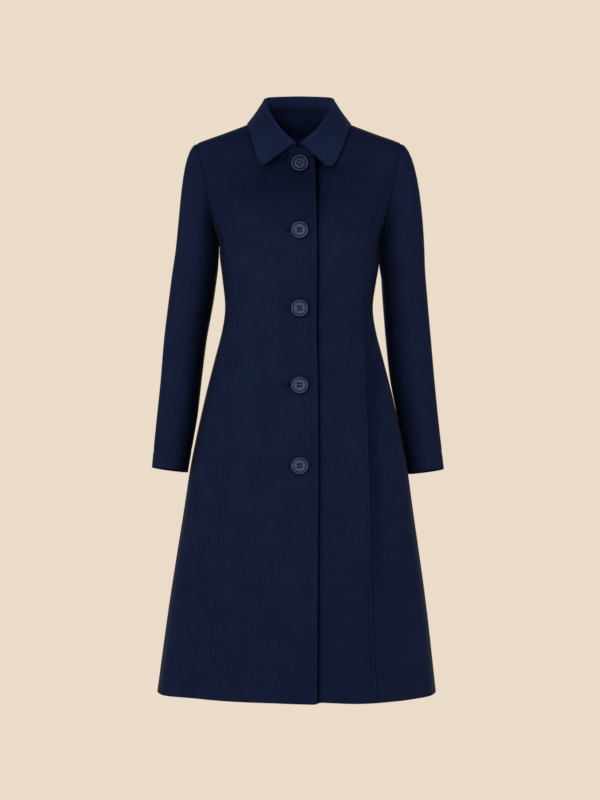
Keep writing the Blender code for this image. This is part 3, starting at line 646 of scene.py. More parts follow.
# Softboxes: place, what they face, width, height and power
LAMPS = table(
    "place aim width height power",
    ((-1.20, -3.5, 0.85), (0.0, 0.0, -0.50), 1.2, 1.2, 75.0),
    ((0.6, -3.8, -0.55), (0.0, 0.0, -0.60), 1.8, 1.2, 14.0),
    ((-3.2, -0.6, -0.20), (0.0, 0.0, -0.60), 1.2, 1.8, 30.0),
    ((3.1, -1.0, -0.20), (0.0, 0.0, -0.60), 1.2, 1.8, 40.0),
    ((-0.70, 3.4, 0.40), (0.0, 0.0, -0.50), 1.0, 2.0, 60.0),
    ((0.75, 3.3, 0.35), (0.0, 0.0, -0.50), 1.0, 2.0, 50.0),
)
AMBIENT_SHARE = 0.22

# Step for the slopes of the form, in radians and metres
SLOPE_STEP = 0.0004


def linear(code):
    """Linear red, green and blue of a hex colour."""
    shares = [int(code[i:i + 2], 16) / 255.0 for i in (1, 3, 5)]
    return tuple(s / 12.92 if s <= 0.04045 else ((s + 0.055) / 1.055) ** 2.4 for s in shares)


def length(name, description, default):
    """Property that holds a size in metres."""
    return FloatProperty(name=name, description=description, default=default, unit="LENGTH", precision=4)


def colour(name, description, code):
    """Property that holds a colour, with a hex code as its default."""
    return FloatVectorProperty(
        name=name, description=description, subtype="COLOR", size=3, min=0, max=1, default=linear(code),
    )


class CoatSizes(bpy.types.PropertyGroup):
    """Sizes of the cloth, its stitching and its edges."""

    wall: length("Cloth", "Thickness of the cloth", 0.0022)
    edge_wall: length("Front edge", "Thickness of the doubled front edges", 0.0034)
    collar_wall: length("Collar", "Thickness of the collar", 0.0032)
    collar_round: length("Collar edge", "Rounding of the collar's edge", 0.0015)
    collar_spring: length("Collar spring", "How far the collar's tips stand off the chest", 0.0075)
    edge_round: length("Edge", "Rounding of cloth edges", 0.0009)
    felled_inset: length("Seam stitching", "From a princess seam to its stitching", 0.0065)
    front_inset: length("Front stitching", "From a front edge to its stitching", 0.0130)
    stitch: length("Stitch", "Length of a stitch", 0.0030)
    stitch_gap: length("Stitch gap", "Space between two stitches", 0.0008)
    thread: length("Thread", "Width of the sewing thread", 0.0006)
    tip_radius: length("Collar tip", "Rounding of the collar tips", 0.0090)


class CoatColours(bpy.types.PropertyGroup):
    """Colours of the cloth, the buttons and the stage."""

    wool_deep: colour("Wool, deep", "Colour between the fibres", "#10172d")
    wool_light: colour("Wool, light", "Colour of the fibre tips", "#18213c")
    nap: colour("Nap", "Colour of the nap where light grazes it", "#c8c6ca")
    thread: colour("Thread", "Colour of the sewing thread", "#0d1326")
    button: colour("Buttons", "Colour of the buttons", "#2d385b")
    floor: colour("Floor", "Colour of the floor", "#ebdcc9")
    ambient: colour("Fill light", "Colour of the light from all round", "#d8dce6")
    backdrop: colour("Backdrop", "Colour behind the coat", "#ebdcc9")


def mix(first, second, share):
    return first + (second - first) * share


def smooth_step(value):
    share = np.clip(value, 0.0, 1.0)
    return share * share * (3.0 - 2.0 * share)


def ramp(value, start, end):
    """Smooth rise from 0 at the start to 1 at the end."""
    return smooth_step((value - start) / (end - start))


def fading(distance, reach):
    """Smooth fall from 1 at a line to 0 at a reach from it."""
    return 1.0 - smooth_step(distance / reach)


def bell(value):
    return np.exp(-(value ** 2))


def normalized(vectors):
    return vectors / np.linalg.norm(vectors, axis=-1, keepdims=True)


def curve(knots, values, at):
    """Smooth curve through values at the knots, read at other places."""
    knots = np.asarray(knots, float)
    values = np.asarray(values, float)
    at = np.asarray(at, float)
    steps = knots.reshape((-1,) + (1,) * (values.ndim - 1))
    slopes = np.empty_like(values)
    slopes[1:-1] = (values[2:] - values[:-2]) / (steps[2:] - steps[:-2])
    slopes[0] = (values[1] - values[0]) / (steps[1] - steps[0])
    slopes[-1] = (values[-1] - values[-2]) / (steps[-1] - steps[-2])
    index = np.clip(np.searchsorted(knots, at, side="right") - 1, 0, len(knots) - 2)
    span = knots[index + 1] - knots[index]
    share = np.clip((at - knots[index]) / span, 0.0, 1.0)
    if values.ndim > 1:
        span = span[..., None]
        share = share[..., None]
    square = share * share
    cube = square * share
    return (
        (2.0 * cube - 3.0 * square + 1.0) * values[index]
        + (cube - 2.0 * square + share) * slopes[index] * span
        + (3.0 * square - 2.0 * cube) * values[index + 1]
        + (cube - square) * slopes[index + 1] * span
    )


def read_table(rows, column, at, along="height"):
    """Smooth value of one column of a table, read along another one."""
    return curve([getattr(row, along) for row in rows], [getattr(row, column) for row in rows], at)


def finer(samples, places):
    """Smooth line through sample points, read at places counted in samples."""
    return curve(np.arange(len(samples)), samples, places)


def section(column, height):
    """Size of the body's section at a height."""
    return read_table(BODY_SECTIONS, column, height)


def fold_lift(angle, height):
    """Height of the skirt folds over the plain section at an angle."""
    total = np.zeros(np.broadcast(angle, height).shape)
    for fold in FOLDS:
        offset = (np.degrees(angle) - fold.angle + 180.0) % 360.0 - 180.0
        grown = fold.lift_mid * ramp(height, fold.start, FOLD_MID)
        hanging = mix(fold.lift_mid, fold.lift_hem, (FOLD_MID - height) / (FOLD_MID - HEM))
        total = total + np.where(height > FOLD_MID, grown, hanging) * bell(offset / fold.spread)
    return total


def form_depth(front, height):
    """Depth of the section in front of or behind its middle."""
    return np.where(front, section("front_depth", height), section("back_depth", height))


def form_point(angle, height):
    """Points of the outer face: angle 0 is the centre front, +90 degrees the left side."""
    angle, height = np.broadcast_arrays(np.asarray(angle, float), np.asarray(height, float))
    lift = fold_lift(angle, height)
    depth = form_depth(np.cos(angle) > 0.0, height)
    x = section("sway", height) + (section("half_width", height) + lift) * np.sin(angle)
    return np.stack((x, -(depth + lift) * np.cos(angle), height), axis=-1)


def form_normal(angle, height):
    """Outward direction of the form."""
    around = form_point(angle + SLOPE_STEP, height) - form_point(angle - SLOPE_STEP, height)
    upward = form_point(angle, height + SLOPE_STEP) - form_point(angle, height - SLOPE_STEP)
    return normalized(np.cross(around, upward))


def form_angle(points):
    """Angle of the section through points near the form."""
    height = points[..., 2]
    across = (points[..., 0] - section("sway", height)) / section("half_width", height)
    return np.arctan2(across, -points[..., 1] / form_depth(points[..., 1] <= 0.0, height))


def angle_at(x, height, behind=False):
    """Angle at which the section of a height has the given x."""
    across = (x - section("sway", height)) / section("half_width", height)
    front_angle = np.arcsin(np.clip(across, -1.0, 1.0))
    return np.where(behind, np.copysign(math.pi, x) - front_angle, front_angle)


def traced(reach, height, side, behind=False):
    """Points of the form on a side, at reaches from the centre line and at heights."""
    height = np.asarray(height)
    return form_point(angle_at(side * np.asarray(reach), height, behind), height)


def outline(points, side, behind=False):
    """Points of the form on a side along an outline of the pattern."""
    return traced([point.reach for point in points], [point.height for point in points], side, behind)


def side_point(height, side):
    return form_point(side * math.pi / 2.0, height)


def from_top(points):
    """Distance from the top row of a panel, column by column."""
    return np.linalg.norm(points - points[-1:], axis=-1)


def raised(points, lift):
    """Points of the form moved out by a lift."""
    return points + form_normal(form_angle(points), points[..., 2]) * lift[..., None]


def row_places(last, parts=ROW_PARTS):
    """Places of the cloth's rows, counted in pattern points and closer at the hem."""
    low = np.array(HEM_ROWS) / (SKIRT_HEIGHTS[1] - SKIRT_HEIGHTS[0])
    return np.concatenate((low, np.linspace(1, last, (last - 1) * parts + 1)))


def joined_edge(lower, upper, places):
    """Edge of two smooth runs that meet at a corner."""
    corner = len(lower) - 1
    below = finer(lower, places[places <= corner])
    above = finer(upper, places[places > corner] - corner)
    return np.concatenate((below, above))


def princess_samples(side):
    heights = list(SKIRT_HEIGHTS) + [row.princess for row in BODICE_ROWS] + [FRONT_ARMHOLE[0].height]
    reach = read_table(PRINCESS_SEAM, "left_reach" if side > 0 else "right_reach", heights)
    return traced(reach, heights, side)


def side_samples(side):
    return side_point(list(SKIRT_HEIGHTS) + [row.side for row in BODICE_ROWS] + [UNDERARM], side)


def front_armhole_samples(side):
    return np.concatenate((outline(FRONT_ARMHOLE, side), [side_point(SHOULDER_TIP, side)]))


def side_armhole_samples(side):
    corner = outline(FRONT_ARMHOLE[:1], side)
    return np.concatenate((corner, outline(SIDE_ARMHOLE, side), [side_point(UNDERARM, side)]))


def back_armhole_samples(side):
    ends = side_point([UNDERARM, SHOULDER_TIP], side)
    return np.concatenate((ends[:1], outline(BACK_ARMHOLE, side, True), ends[1:]))


def column_shares(widths, near, far):
    """Shares across each row, with columns at fixed distances from both edges."""
    widths = widths[:, None]
    near = np.array(near) / widths
    far = 1.0 - np.array(far)[::-1] / widths
    middle = np.linspace(0.0, 1.0, MIDDLE_COLUMNS + 2)[1:-1]
    return np.concatenate((near, mix(near[:, -1:], far[:, :1], middle), far), axis=1)


def blend_panel(near, far, columns, hem_at, top_at):
    """Grid between four edges that share their corners, drawn onto the form.

    Gives its points and their distances from the near and the far edge.
    """
    widths = np.linalg.norm(far - near, axis=1)
    shares = column_shares(widths, *columns)
    near_rise = (near[:, 2] - near[0, 2]) / (near[-1, 2] - near[0, 2])
    far_rise = (far[:, 2] - far[0, 2]) / (far[-1, 2] - far[0, 2])
    rise = mix(near_rise[:, None], far_rise[:, None], shares)[..., None]
    across = shares[..., None]
    between = mix(near[:, None], far[:, None], across) + mix(hem_at(shares), top_at(shares), rise)
    corners = mix(mix(near[0], far[0], across), mix(near[-1], far[-1], across), rise)
    points = between - corners
    points = form_point(form_angle(points), points[..., 2])
    points[shares == 0.0] = near
    points[shares == 1.0] = far
    return points, shares * widths[:, None], (1.0 - shares) * widths[:, None]


def crease_lift(across, height, creases):
    """Lift of soft creases at places across and up a face."""
    places = np.stack(np.broadcast_arrays(across, height), axis=-1)
    total = np.zeros(places.shape[:-1])
    for crease in creases:
        top = np.array((crease.top_x, crease.top_z))
        way = np.array((crease.low_x, crease.low_z)) - top
        offset = places - top
        share = np.clip(offset @ way / (way @ way), 0.0, 1.0)
        distance = np.linalg.norm(offset - share[..., None] * way, axis=-1)
        inner_share = np.clip(share, CREASE_END, 1.0 - CREASE_END)
        fade = np.sin(math.pi * inner_share) ** CREASE_FULLNESS
        total += crease.depth * fade * bell(distance / crease.spread)
    return total


def seam_roll(distance):
    """Cloth rolling in towards a plain seam."""
    return -SEAM_DIP * fading(distance, SEAM_ROLL)


def tucked(distance):
    """Cloth dipping under the folded edge of its neighbour."""
    return -TUCK_DEPTH * fading(distance, TUCK_REACH)


def seam_tone(distance):
    """Painted shade where cloth turns into a plain seam."""
    return SEAM_TONE * bell(distance / SEAM_TONE_SPREAD)


def stitched_line(distance, inset):
    """Cloth drawn down by a line of stitching."""
    return -STITCH_DIP * bell((distance - inset) / STITCH_SPREAD)


def felled_band(distance, inset):
    """Seam allowance that stands up between a seam and its stitching."""
    return FELLED_RISE * fading(distance - inset, 2.0 * STITCH_SPREAD) + stitched_line(distance, inset)


def hem_fold(points):
    """Faint, uneven line where the turned-up hem ends inside."""
    above = points[..., 2] - HEM - HEM_FOLD
    uneven = mix(np.sin(HEM_FOLD_WAVE * points[..., 0] + HEM_FOLD_PHASE), 1.0, HEM_FOLD_EVENNESS)
    return -HEM_FOLD_DIP * uneven * bell(above / HEM_FOLD_SPREAD)


def hung(points):
    """Front points with the hem hanging a little unevenly."""
    moved = points.copy()
    drop = read_table(FRONT_HANG, "drop", points[..., 0], along="x")
    moved[..., 2] += drop * fading(points[..., 2] - HEM, HANG_REACH)
    return moved


def painted_patch_tone(points, patches):
    """Colour scale of painted light and shade from patches, 1 where none is painted."""
    tone = np.ones(points.shape[:-1])
    for patch in patches:
        across = (points[..., 0] - patch.x) / patch.half_width
        upward = (points[..., 2] - patch.z) / patch.half_height
        tone += patch.gain * bell(across) * bell(upward)
    return tone


def painted_button_shadows(points):
    """Painted shadow on the cloth round each button."""
    total = np.zeros(points.shape[:-1])
    for place in BUTTON_PLACES:
        away = np.hypot(points[..., 0] - BUTTON_X, points[..., 2] - place.height)
        total += PAINTED_BUTTON_SHADOW * fading(away - HALO_START, HALO_WIDTH)
    return total


def lap_lift(x):
    """Lift of the overlapping front, fading out beyond the covered edge."""
    return LAP_LIFT * ramp(x, -LAP_RAMP_END, -LAP_FLAT_END)


def front_panel(side, places):
    """Plain points of a centre front, and their distances from its edge and its seam."""
    heights = list(SKIRT_HEIGHTS) + [row.front_edge for row in BODICE_ROWS]
    reaches = read_table(FRONT_EDGE, "reach", heights) if side < 0 else np.full(len(heights), LAP_REACH)
    neck = np.concatenate((outline(FRONT_NECKLINE, side), [side_point(NECK_POINT, side)]))
    near = finer(np.concatenate((traced(-reaches, heights, side), neck)), places)
    far = joined_edge(princess_samples(side), front_armhole_samples(side), places)
    ends = form_angle(np.stack((near[0], far[0])))
    return blend_panel(
        near, far, (FRONT_EDGE_COLUMNS, FELLED_COLUMNS),
        lambda share: form_point(mix(ends[0], ends[1], share), HEM),
        lambda share: side_point(mix(NECK_POINT, SHOULDER_TIP, share), side),
    )


def front_grid(side, sizes):
    """Outer points of a centre front, its tone, and how far it is doubled towards its edge."""
    places = row_places(CORNER_ROW + len(FRONT_NECKLINE), FRONT_ROW_PARTS)
    points, from_edge, from_seam = front_panel(side, places)
    x = points[..., 0]
    height = points[..., 2]
    places = places[:, None]
    seam_rows = smooth_step(CORNER_ROW - places)
    armhole_rows = smooth_step(places - CORNER_ROW)
    edge_rows = places <= CORNER_ROW - 1
    lift = crease_lift(x, height, FRONT_CREASES) + hem_fold(points) + seam_roll(from_top(points))
    lift += seam_rows * felled_band(from_seam, sizes.felled_inset) + armhole_rows * seam_roll(from_seam)
    drawn = edge_rows * ramp(height, FRONT_STITCH_FAINT, FRONT_STITCH_FULL)
    lift += drawn * stitched_line(from_edge, sizes.front_inset)
    # Painted light and shade: patches, the collar's shadows, shade along the stitching and the armhole seam,
    # a highlight on the seam ridge, shadows round the buttons, and shade in the gap beside the lapped edge
    tone = painted_patch_tone(points, FRONT_PAINTED_PATCHES) + crease_lift(x, height, COLLAR_PAINTED_SHADOWS)
    tone += seam_rows * STITCH_TONE * bell((from_seam - sizes.felled_inset) / STITCH_SPREAD)
    tone += armhole_rows * seam_tone(from_seam)
    ridge = seam_rows * bell((from_seam - RIDGE_PLACE) / RIDGE_SPREAD)
    opening = ramp(height, TOP_FLARE_START, TOP_FLARE_END)
    if side < 0:
        flare = (EDGE_FLARE + TOP_FLARE * opening) * fading(from_edge, EDGE_FLARE_REACH)
        lift += lap_lift(x) + flare * fading(places - CORNER_ROW, NECK_FLARE_ROWS)
        tone += RIGHT_RIDGE_TONE * ridge + painted_button_shadows(points)
    else:
        beside_lap = bell((x - UNDERLAP_PLACE) / UNDERLAP_SPREAD)
        lift -= UNDERLAP_DIP * beside_lap
        tone += LEFT_RIDGE_TONE * ridge + (UNDERLAP_TONE + UNDERLAP_TOP_TONE * opening) * beside_lap
    doubled = ramp(np.abs(x), LAP_RAMP_END, LAP_FLAT_END)
    return hung(raised(points, lift)), tone, doubled


def side_grid(side):
    """Outer points of a side front and its tone."""
    places = row_places(CORNER_ROW)
    near = finer(princess_samples(side), places)
    far = finer(side_samples(side), places)
    start = form_angle(near[0])
    armhole = side_armhole_samples(side)
    ahead = normalized(armhole[1] - armhole[0]) * np.linalg.norm(far[-1] - near[-1])
    points, from_seam, from_side = blend_panel(
        near, far, (TUCKED_COLUMNS, SEAM_COLUMNS),
        lambda share: form_point(mix(start, side * math.pi / 2.0, share), HEM),
        lambda share: (
            finer(armhole, share * (len(armhole) - 1)) + np.minimum(share, 0.0)[..., None] * ahead
        ),
    )
    from_armhole = from_top(points)
    seam_rows = np.where(from_seam < 0.0, 1.0, smooth_step(CORNER_ROW - places)[:, None])
    lift = crease_lift(points[..., 0], points[..., 2], FRONT_CREASES)
    lift = lift * smooth_step(from_armhole / ARMHOLE_FADE) + hem_fold(points)
    lift += seam_rows * tucked(from_seam) + seam_roll(from_side) + seam_roll(from_armhole)
    # Painted light and shade: patches, with painted shade in the tucked seam, the armhole seam and the side
    # seam
    tone = painted_patch_tone(points, FRONT_PAINTED_PATCHES + SIDE_PAINTED_SHADE)
    tone += seam_rows * TUCK_TONE * bell(from_seam / TUCK_TONE_SPREAD)
    tone += seam_tone(from_armhole) + SIDE_SEAM_SHARE * seam_tone(from_side)
    return hung(raised(points, lift)), tone


def back_grid(side):
    """Outer points of a back half and its tone."""
    centre = form_point(side * math.pi, list(SKIRT_HEIGHTS) + list(BACK_CENTRE_HEIGHTS))
    neck_angles = side * (math.pi - np.radians(list(BACK_NECK_ANGLES) + [90.0]))
    neck = np.concatenate((centre[-1:], form_point(neck_angles, NECK_POINT)))
    places = row_places(len(centre) + len(neck) - 2)
    near = joined_edge(centre, neck, places)
    far = joined_edge(side_samples(side), back_armhole_samples(side), places)
    points, from_centre, from_side = blend_panel(
        near, far, (BACK_CENTRE_COLUMNS, SEAM_COLUMNS),
        lambda share: form_point(side * mix(math.pi, math.pi / 2.0, share), HEM),
        lambda share: side_point(mix(NECK_POINT, SHOULDER_TIP, share), side),
    )
    x = points[..., 0]
    height = points[..., 2]
    below_neck = ramp(height, CENTRE_SEAM_START, CENTRE_SEAM_FULL)
    lift = crease_lift(x, height, BACK_CREASES) + hem_fold(points)
    lift += below_neck * seam_roll(from_centre) + seam_roll(from_side) + seam_roll(from_top(points))
    # Painted shade in the centre and side seams, inside the back neck and under the back of the collar
    tone = 1.0 + BACK_SEAM_SHARE * (below_neck * seam_tone(from_centre) + seam_tone(from_side))
    under_collar = 1.0 - ramp(np.abs(x), NECK_TONE_NEAR, NECK_TONE_FAR)
    tone += read_table(NECK_PAINTED_SHADE, "gain", height) * under_collar
    return raised(points, lift), tone


def sleeve_ring(rows, side, angle, height):
    """Points of the sleeve: angle 0 is its outer edge, 90 degrees its front."""
    outer = read_table(rows, "outer", height)
    inner = read_table(rows, "inner", height)
    middle = read_table(rows, "middle", height)
    half_depth = read_table(rows, "half_depth", height)
    reach = (outer + inner) / 2.0 + (outer - inner) / 2.0 * np.cos(angle)
    tilt = CUFF_TILT_SIDE * np.cos(angle) + CUFF_TILT_FRONT * np.sin(angle)
    tilted = height + tilt * ramp(height, CUFF_TILT_START, rows[0].height)
    return np.stack((side * reach, middle - half_depth * np.sin(angle), tilted), axis=-1)


def armhole_loop(side):
    """Armhole points from the shoulder tip down the front and up the back."""
    runs = front_armhole_samples(side)[::-1], side_armhole_samples(side), back_armhole_samples(side)
    loop = []
    for run in runs:
        places = np.linspace(0.0, len(run) - 1, (len(run) - 1) * LOOP_PARTS + 1)
        loop.append(finer(run, places)[:-1])
    return np.concatenate(loop)


def loop_angles(loop):
    """Angle around the sleeve for each armhole point, by its share of the length."""
    steps = np.linalg.norm(np.roll(loop, -1, axis=0) - loop, axis=1)
    lengths = np.concatenate(([0.0], np.cumsum(steps)))
    front = lengths[np.argmin(loop[:, 2])]
    back = lengths[-1] - front
    along = lengths[:-1]
    return np.where(along <= front, math.pi * along / front, math.pi * (1.0 + (along - front) / back))


def sleeve_cap(loop, rows, side, angles):
    """Rows of a sleeve from the armhole to the top of the arm, on smooth arcs."""
    end = sleeve_ring(rows, side, angles, ARM_TOP)
    above = sleeve_ring(rows, side, angles, rows[-1].height)
    drop = loop[:, 2:] - end[:, 2:]
    level = (loop[:, 2:] - UNDERARM) / (SHOULDER_TIP - UNDERARM)
    lean = normalized(mix(np.array(CAP_LEAN_UNDERARM), np.array(CAP_LEAN_TOP), level))
    second = loop + lean * np.array((side, 1.0, 1.0)) * (CAP_SPRING * drop + CAP_SPRING_LEAST)
    third = end + (above - end) * drop / (SHOULDER_TIP - ARM_TOP)
    step = np.array(CAP_STEPS)[:, None, None]
    rest = 1.0 - step
    bent = 3.0 * rest * step * (second * rest + third * step)
    return loop * rest ** 3 + bent + end * step ** 3


def sleeve_grid(rows, side, creases):
    """Outer points of a sleeve from the armhole to the cuff, closed around, and their tones."""
    loop = armhole_loop(side)
    angles = loop_angles(loop)
    cuff = rows[0].height
    heights = list(np.linspace(ARM_TOP, cuff + CUFF_ROWS[-1], ARM_ROWS)[:-1])
    heights += [cuff + row for row in reversed(CUFF_ROWS)]
    arm = [sleeve_ring(rows, side, angles, height) for height in heights]
    grid = np.concatenate((sleeve_cap(loop, rows, side, angles), arm))
    degree = math.radians(1.0) * SLEEVE_ROUND
    drawn = [crease._replace(top_x=crease.top_x * degree, low_x=crease.low_x * degree) for crease in creases]
    lift = crease_lift(angles * SLEEVE_ROUND, grid[..., 2], drawn)
    lift -= CUFF_FOLD_DIP * bell((grid[..., 2] - cuff - CUFF_FOLD) / HEM_FOLD_SPREAD)
    lift *= np.minimum(1.0, np.arange(len(grid)) / len(CAP_STEPS))[:, None]
    for seam, share in ((FRONT_SLEEVE_SEAM, FRONT_SLEEVE_SEAM_SHARE), (BACK_SLEEVE_SEAM, 1.0)):
        beside = np.linalg.norm(grid - grid[:, seam * LOOP_PARTS, None], axis=-1)
        lift += share * seam_roll(beside)
    from_armhole = np.linalg.norm(grid - grid[:1], axis=-1)
    drawn_in = form_normal(form_angle(loop), loop[:, 2]) * seam_roll(from_armhole)[..., None]
    # Painted shade on the inner side of the sleeve, a painted highlight along its inner edge, and painted
    # shade at the armhole seam
    from_outside = 180.0 - np.abs(np.degrees(angles) - 180.0)
    tone = 1.0 + SLEEVE_INSIDE_TONE * ramp(from_outside, SLEEVE_INSIDE_START, SLEEVE_INSIDE_END)
    tone += SLEEVE_RIM_TONE * ramp(from_outside, SLEEVE_RIM_START, SLEEVE_RIM_END)
    tone = np.maximum(tone + seam_tone(from_armhole), SLEEVE_TONE_LEAST)
    around = np.roll(grid, -1, axis=1) - np.roll(grid, 1, axis=1)
    outward = side * normalized(np.cross(around, np.gradient(grid, axis=0)))
    return grid + drawn_in + outward * lift[..., None], tone


def collar_rows(place):
    """Columns of the collar's table at places counted in rows from the right end to the left end."""
    half = len(COLLAR_ROWS) - 1
    order = list(range(half)) + list(range(half, -1, -1))
    sign = np.array([-1.0] * half + [1.0] * (half + 1))
    row = {}
    for column in COLLAR_ROWS[0]._fields:
        values = np.array([getattr(COLLAR_ROWS[i], column) for i in order])
        if column in SIGNED_COLUMNS:
            values = values * sign
        for tip, way, rows in ((RIGHT_TIP, -1.0, values), (LEFT_TIP, 1.0, values[::-1])):
            inward = -way * tip.inward
            shifts = {"edge_x": way * tip.out, "edge_z": -tip.down, "roll_x": inward, "seam_x": inward}
            rows[:len(TIP_FADE)] += np.array(TIP_FADE) * shifts.get(column, 0.0)
        row[column] = finer(values, place)
    return row


def collar_lines(place, sizes):
    """Neck seam, roll and outer edge of the collar, as points and directions."""
    row = collar_rows(place)
    behind = (place > SHOULDER_ROW) & (place < COLLAR_LAST - SHOULDER_ROW)
    lapped = (place < COLLAR_LAST / 2) & ~behind
    seam_angle = angle_at(row["seam_x"], row["seam_z"], behind)
    seam_normal = form_normal(seam_angle, row["seam_z"])
    seam_lift = np.where(lapped, lap_lift(row["seam_x"]), 0.0)
    seam_level = normalized(seam_normal * np.array((1.0, 1.0, 0.0)))
    seam = form_point(seam_angle, row["seam_z"]) + seam_normal * seam_lift[..., None]
    seam = seam - seam_level * (sizes.wall + STAND_INSET) - np.array((0.0, 0.0, STAND_OVERLAP))
    edge_angle = angle_at(row["edge_x"], row["edge_z"], behind)
    edge_normal = form_normal(edge_angle, row["edge_z"])
    from_shoulder = np.minimum(place, COLLAR_LAST - place) / SHOULDER_ROW
    at_shoulder = bell((from_shoulder - 1.0) / SHOULDER_SPREAD)
    clearance = mix(FALL_CLEARANCE_TIPS, FALL_CLEARANCE, at_shoulder)
    clearance = clearance + sizes.collar_spring * (1.0 - smooth_step(from_shoulder))
    lift = sizes.collar_wall + clearance + lap_lift(-np.abs(row["edge_x"]))
    edge = form_point(edge_angle, row["edge_z"]) + edge_normal * lift[..., None]
    roll = np.stack((row["roll_x"], row["roll_y"], row["roll_z"]), axis=-1)
    lean = row["lean"]
    up = normalized(np.stack((np.zeros_like(lean), lean, np.ones_like(lean)), axis=-1))
    fall_way = edge - roll
    outward = normalized(fall_way - up * np.sum(fall_way * up, axis=-1, keepdims=True))
    radius = row["roll_radius"][..., None] * ROLL_TIGHTNESS
    bulge = edge_normal * (2.0 * row["bulge"][..., None])
    return CollarLines(seam, edge, roll - up * radius, outward * radius, up * radius, bulge)


def rounded_tips(place, share, radius):
    """Places on the fall moved in so that its two tips are round."""
    from_end = np.minimum(place, COLLAR_LAST - place) * TIP_ROW_LENGTH
    from_edge = (1.0 - share) * TIP_FALL_LENGTH
    past_end = np.clip(radius - from_end, 0.0, radius)
    past_edge = np.clip(radius - from_edge, 0.0, radius)
    largest = np.maximum(np.maximum(past_end, past_edge), MERGE_DISTANCE)
    turn = math.pi / 4.0 * np.minimum(past_end, past_edge) / largest
    longer = largest * np.cos(turn)
    shorter = largest * np.sin(turn)
    corner = (past_end > 0.0) & (past_edge > 0.0)
    endwise = past_end >= past_edge
    new_end = np.where(corner, radius - np.where(endwise, longer, shorter), from_end) / TIP_ROW_LENGTH
    new_edge = np.where(corner, radius - np.where(endwise, shorter, longer), from_edge) / TIP_FALL_LENGTH
    return np.where(place < COLLAR_LAST / 2, new_end, COLLAR_LAST - new_end), 1.0 - new_edge


def collar_places(radius):
    """Places of the collar's columns, closer together at both tips."""
    tip = np.linspace(0.0, radius, TIP_STEPS + 1) / TIP_ROW_LENGTH
    inner = np.linspace(tip[-1], COLLAR_LAST - tip[-1], COLLAR_LAST * COLLAR_PARTS)
    return np.concatenate((tip[:-1], inner, (COLLAR_LAST - tip[:-1])[::-1]))


def edge_sag(place, share):
    """Front edges of the fall hanging a little below the straight line from roll to tip."""
    kept = 1.0 - SAG_TIP_LOSS * ramp(share, SAG_TIP_START, 1.0)
    total = np.zeros(place.shape + (3,))
    for tip, from_end, way in ((RIGHT_TIP, place, 1.0), (LEFT_TIP, COLLAR_LAST - place, -1.0)):
        amount = tip.sag * kept * smooth_step(share / tip.sag_start) * fading(from_end, SAG_ROWS)
        total += amount[..., None] * np.array(SAG_WAY) * np.array((way, 1.0, 1.0))
    return total


def stand_dip(distance):
    """Collar cloth drawn in at its seams."""
    return STAND_SEAM_DIP * fading(distance, STAND_SEAM_ROLL)


def stand_grid(sizes):
    """Outer points of the collar's stand, from the neck seam up."""
    lines = collar_lines(collar_places(sizes.tip_radius), sizes)
    top = mix(lines.seam, lines.centre - lines.outward, STAND_SHARE)
    tall = np.linalg.norm(top - lines.seam, axis=-1)
    grid = []
    for step in STAND_PLACES:
        dip = stand_dip(tall * step) + stand_dip(tall * (1.0 - step))
        grid.append(mix(lines.seam, top, step) + normalized(lines.outward) * dip[:, None])
    return np.array(grid)


def fall_grid(sizes):
    """Outer points of the turned-down collar, from the stand over the roll to its edge."""
    place = collar_places(sizes.tip_radius)
    lines = collar_lines(place, sizes)
    inside = lines.centre - lines.outward
    low = mix(lines.seam, inside, STAND_SHARE)
    low = low + normalized(inside - low) * SEAM_GAP
    tall = np.linalg.norm(inside - low, axis=-1)
    grid = []
    for step in LEG_PLACES:
        dip = stand_dip(tall * step)
        grid.append(mix(low, inside, step) + normalized(lines.outward) * dip[:, None])
    for angle in np.linspace(math.pi, 0.0, ROLL_STEPS):
        grid.append(lines.centre + lines.outward * math.cos(angle) + lines.up * math.sin(angle))
    near_edge = 1.0 - np.linspace(sizes.tip_radius, 0.0, TIP_STEPS + 1) / TIP_FALL_LENGTH
    for share in list(FALL_PLACES) + list(near_edge):
        moved, moved_share = rounded_tips(place, np.full(len(place), share), sizes.tip_radius)
        lines = collar_lines(moved, sizes)
        start = lines.centre + lines.outward
        bend = (start + lines.edge) / 2.0 + lines.bulge
        step = moved_share[:, None]
        face = mix(mix(start, bend, step), mix(bend, lines.edge, step), step)
        grid.append(face + edge_sag(moved, moved_share))
    return np.array(grid)


def painted_inside_light(points):
    """Painted light at the sides inside the collar, lifting the shade there."""
    return 1.0 + INSIDE_TONE * ramp(np.abs(points[..., 0]), INSIDE_TONE_START, INSIDE_TONE_END)


def near_ends(grid, reach):
    """1 at both ends of the collar, fading out within a reach."""
    ends = grid[:, :1], grid[:, -1:]
    return sum(fading(np.linalg.norm(grid - end, axis=-1), reach) for end in ends)


# Painted shade on the stand, deepest low down and at its top seam, with painted light at its ends and at the
# sides inside the collar
def stand_tones(grid):
    rising = mix(STAND_LOW_TONE, STAND_TOP_TONE, np.array(STAND_PLACES))[:, None]
    tone = (rising + seam_tone(from_top(grid))) * painted_inside_light(grid)
    return tone + STAND_END_TONE * near_ends(grid, STAND_END_REACH)


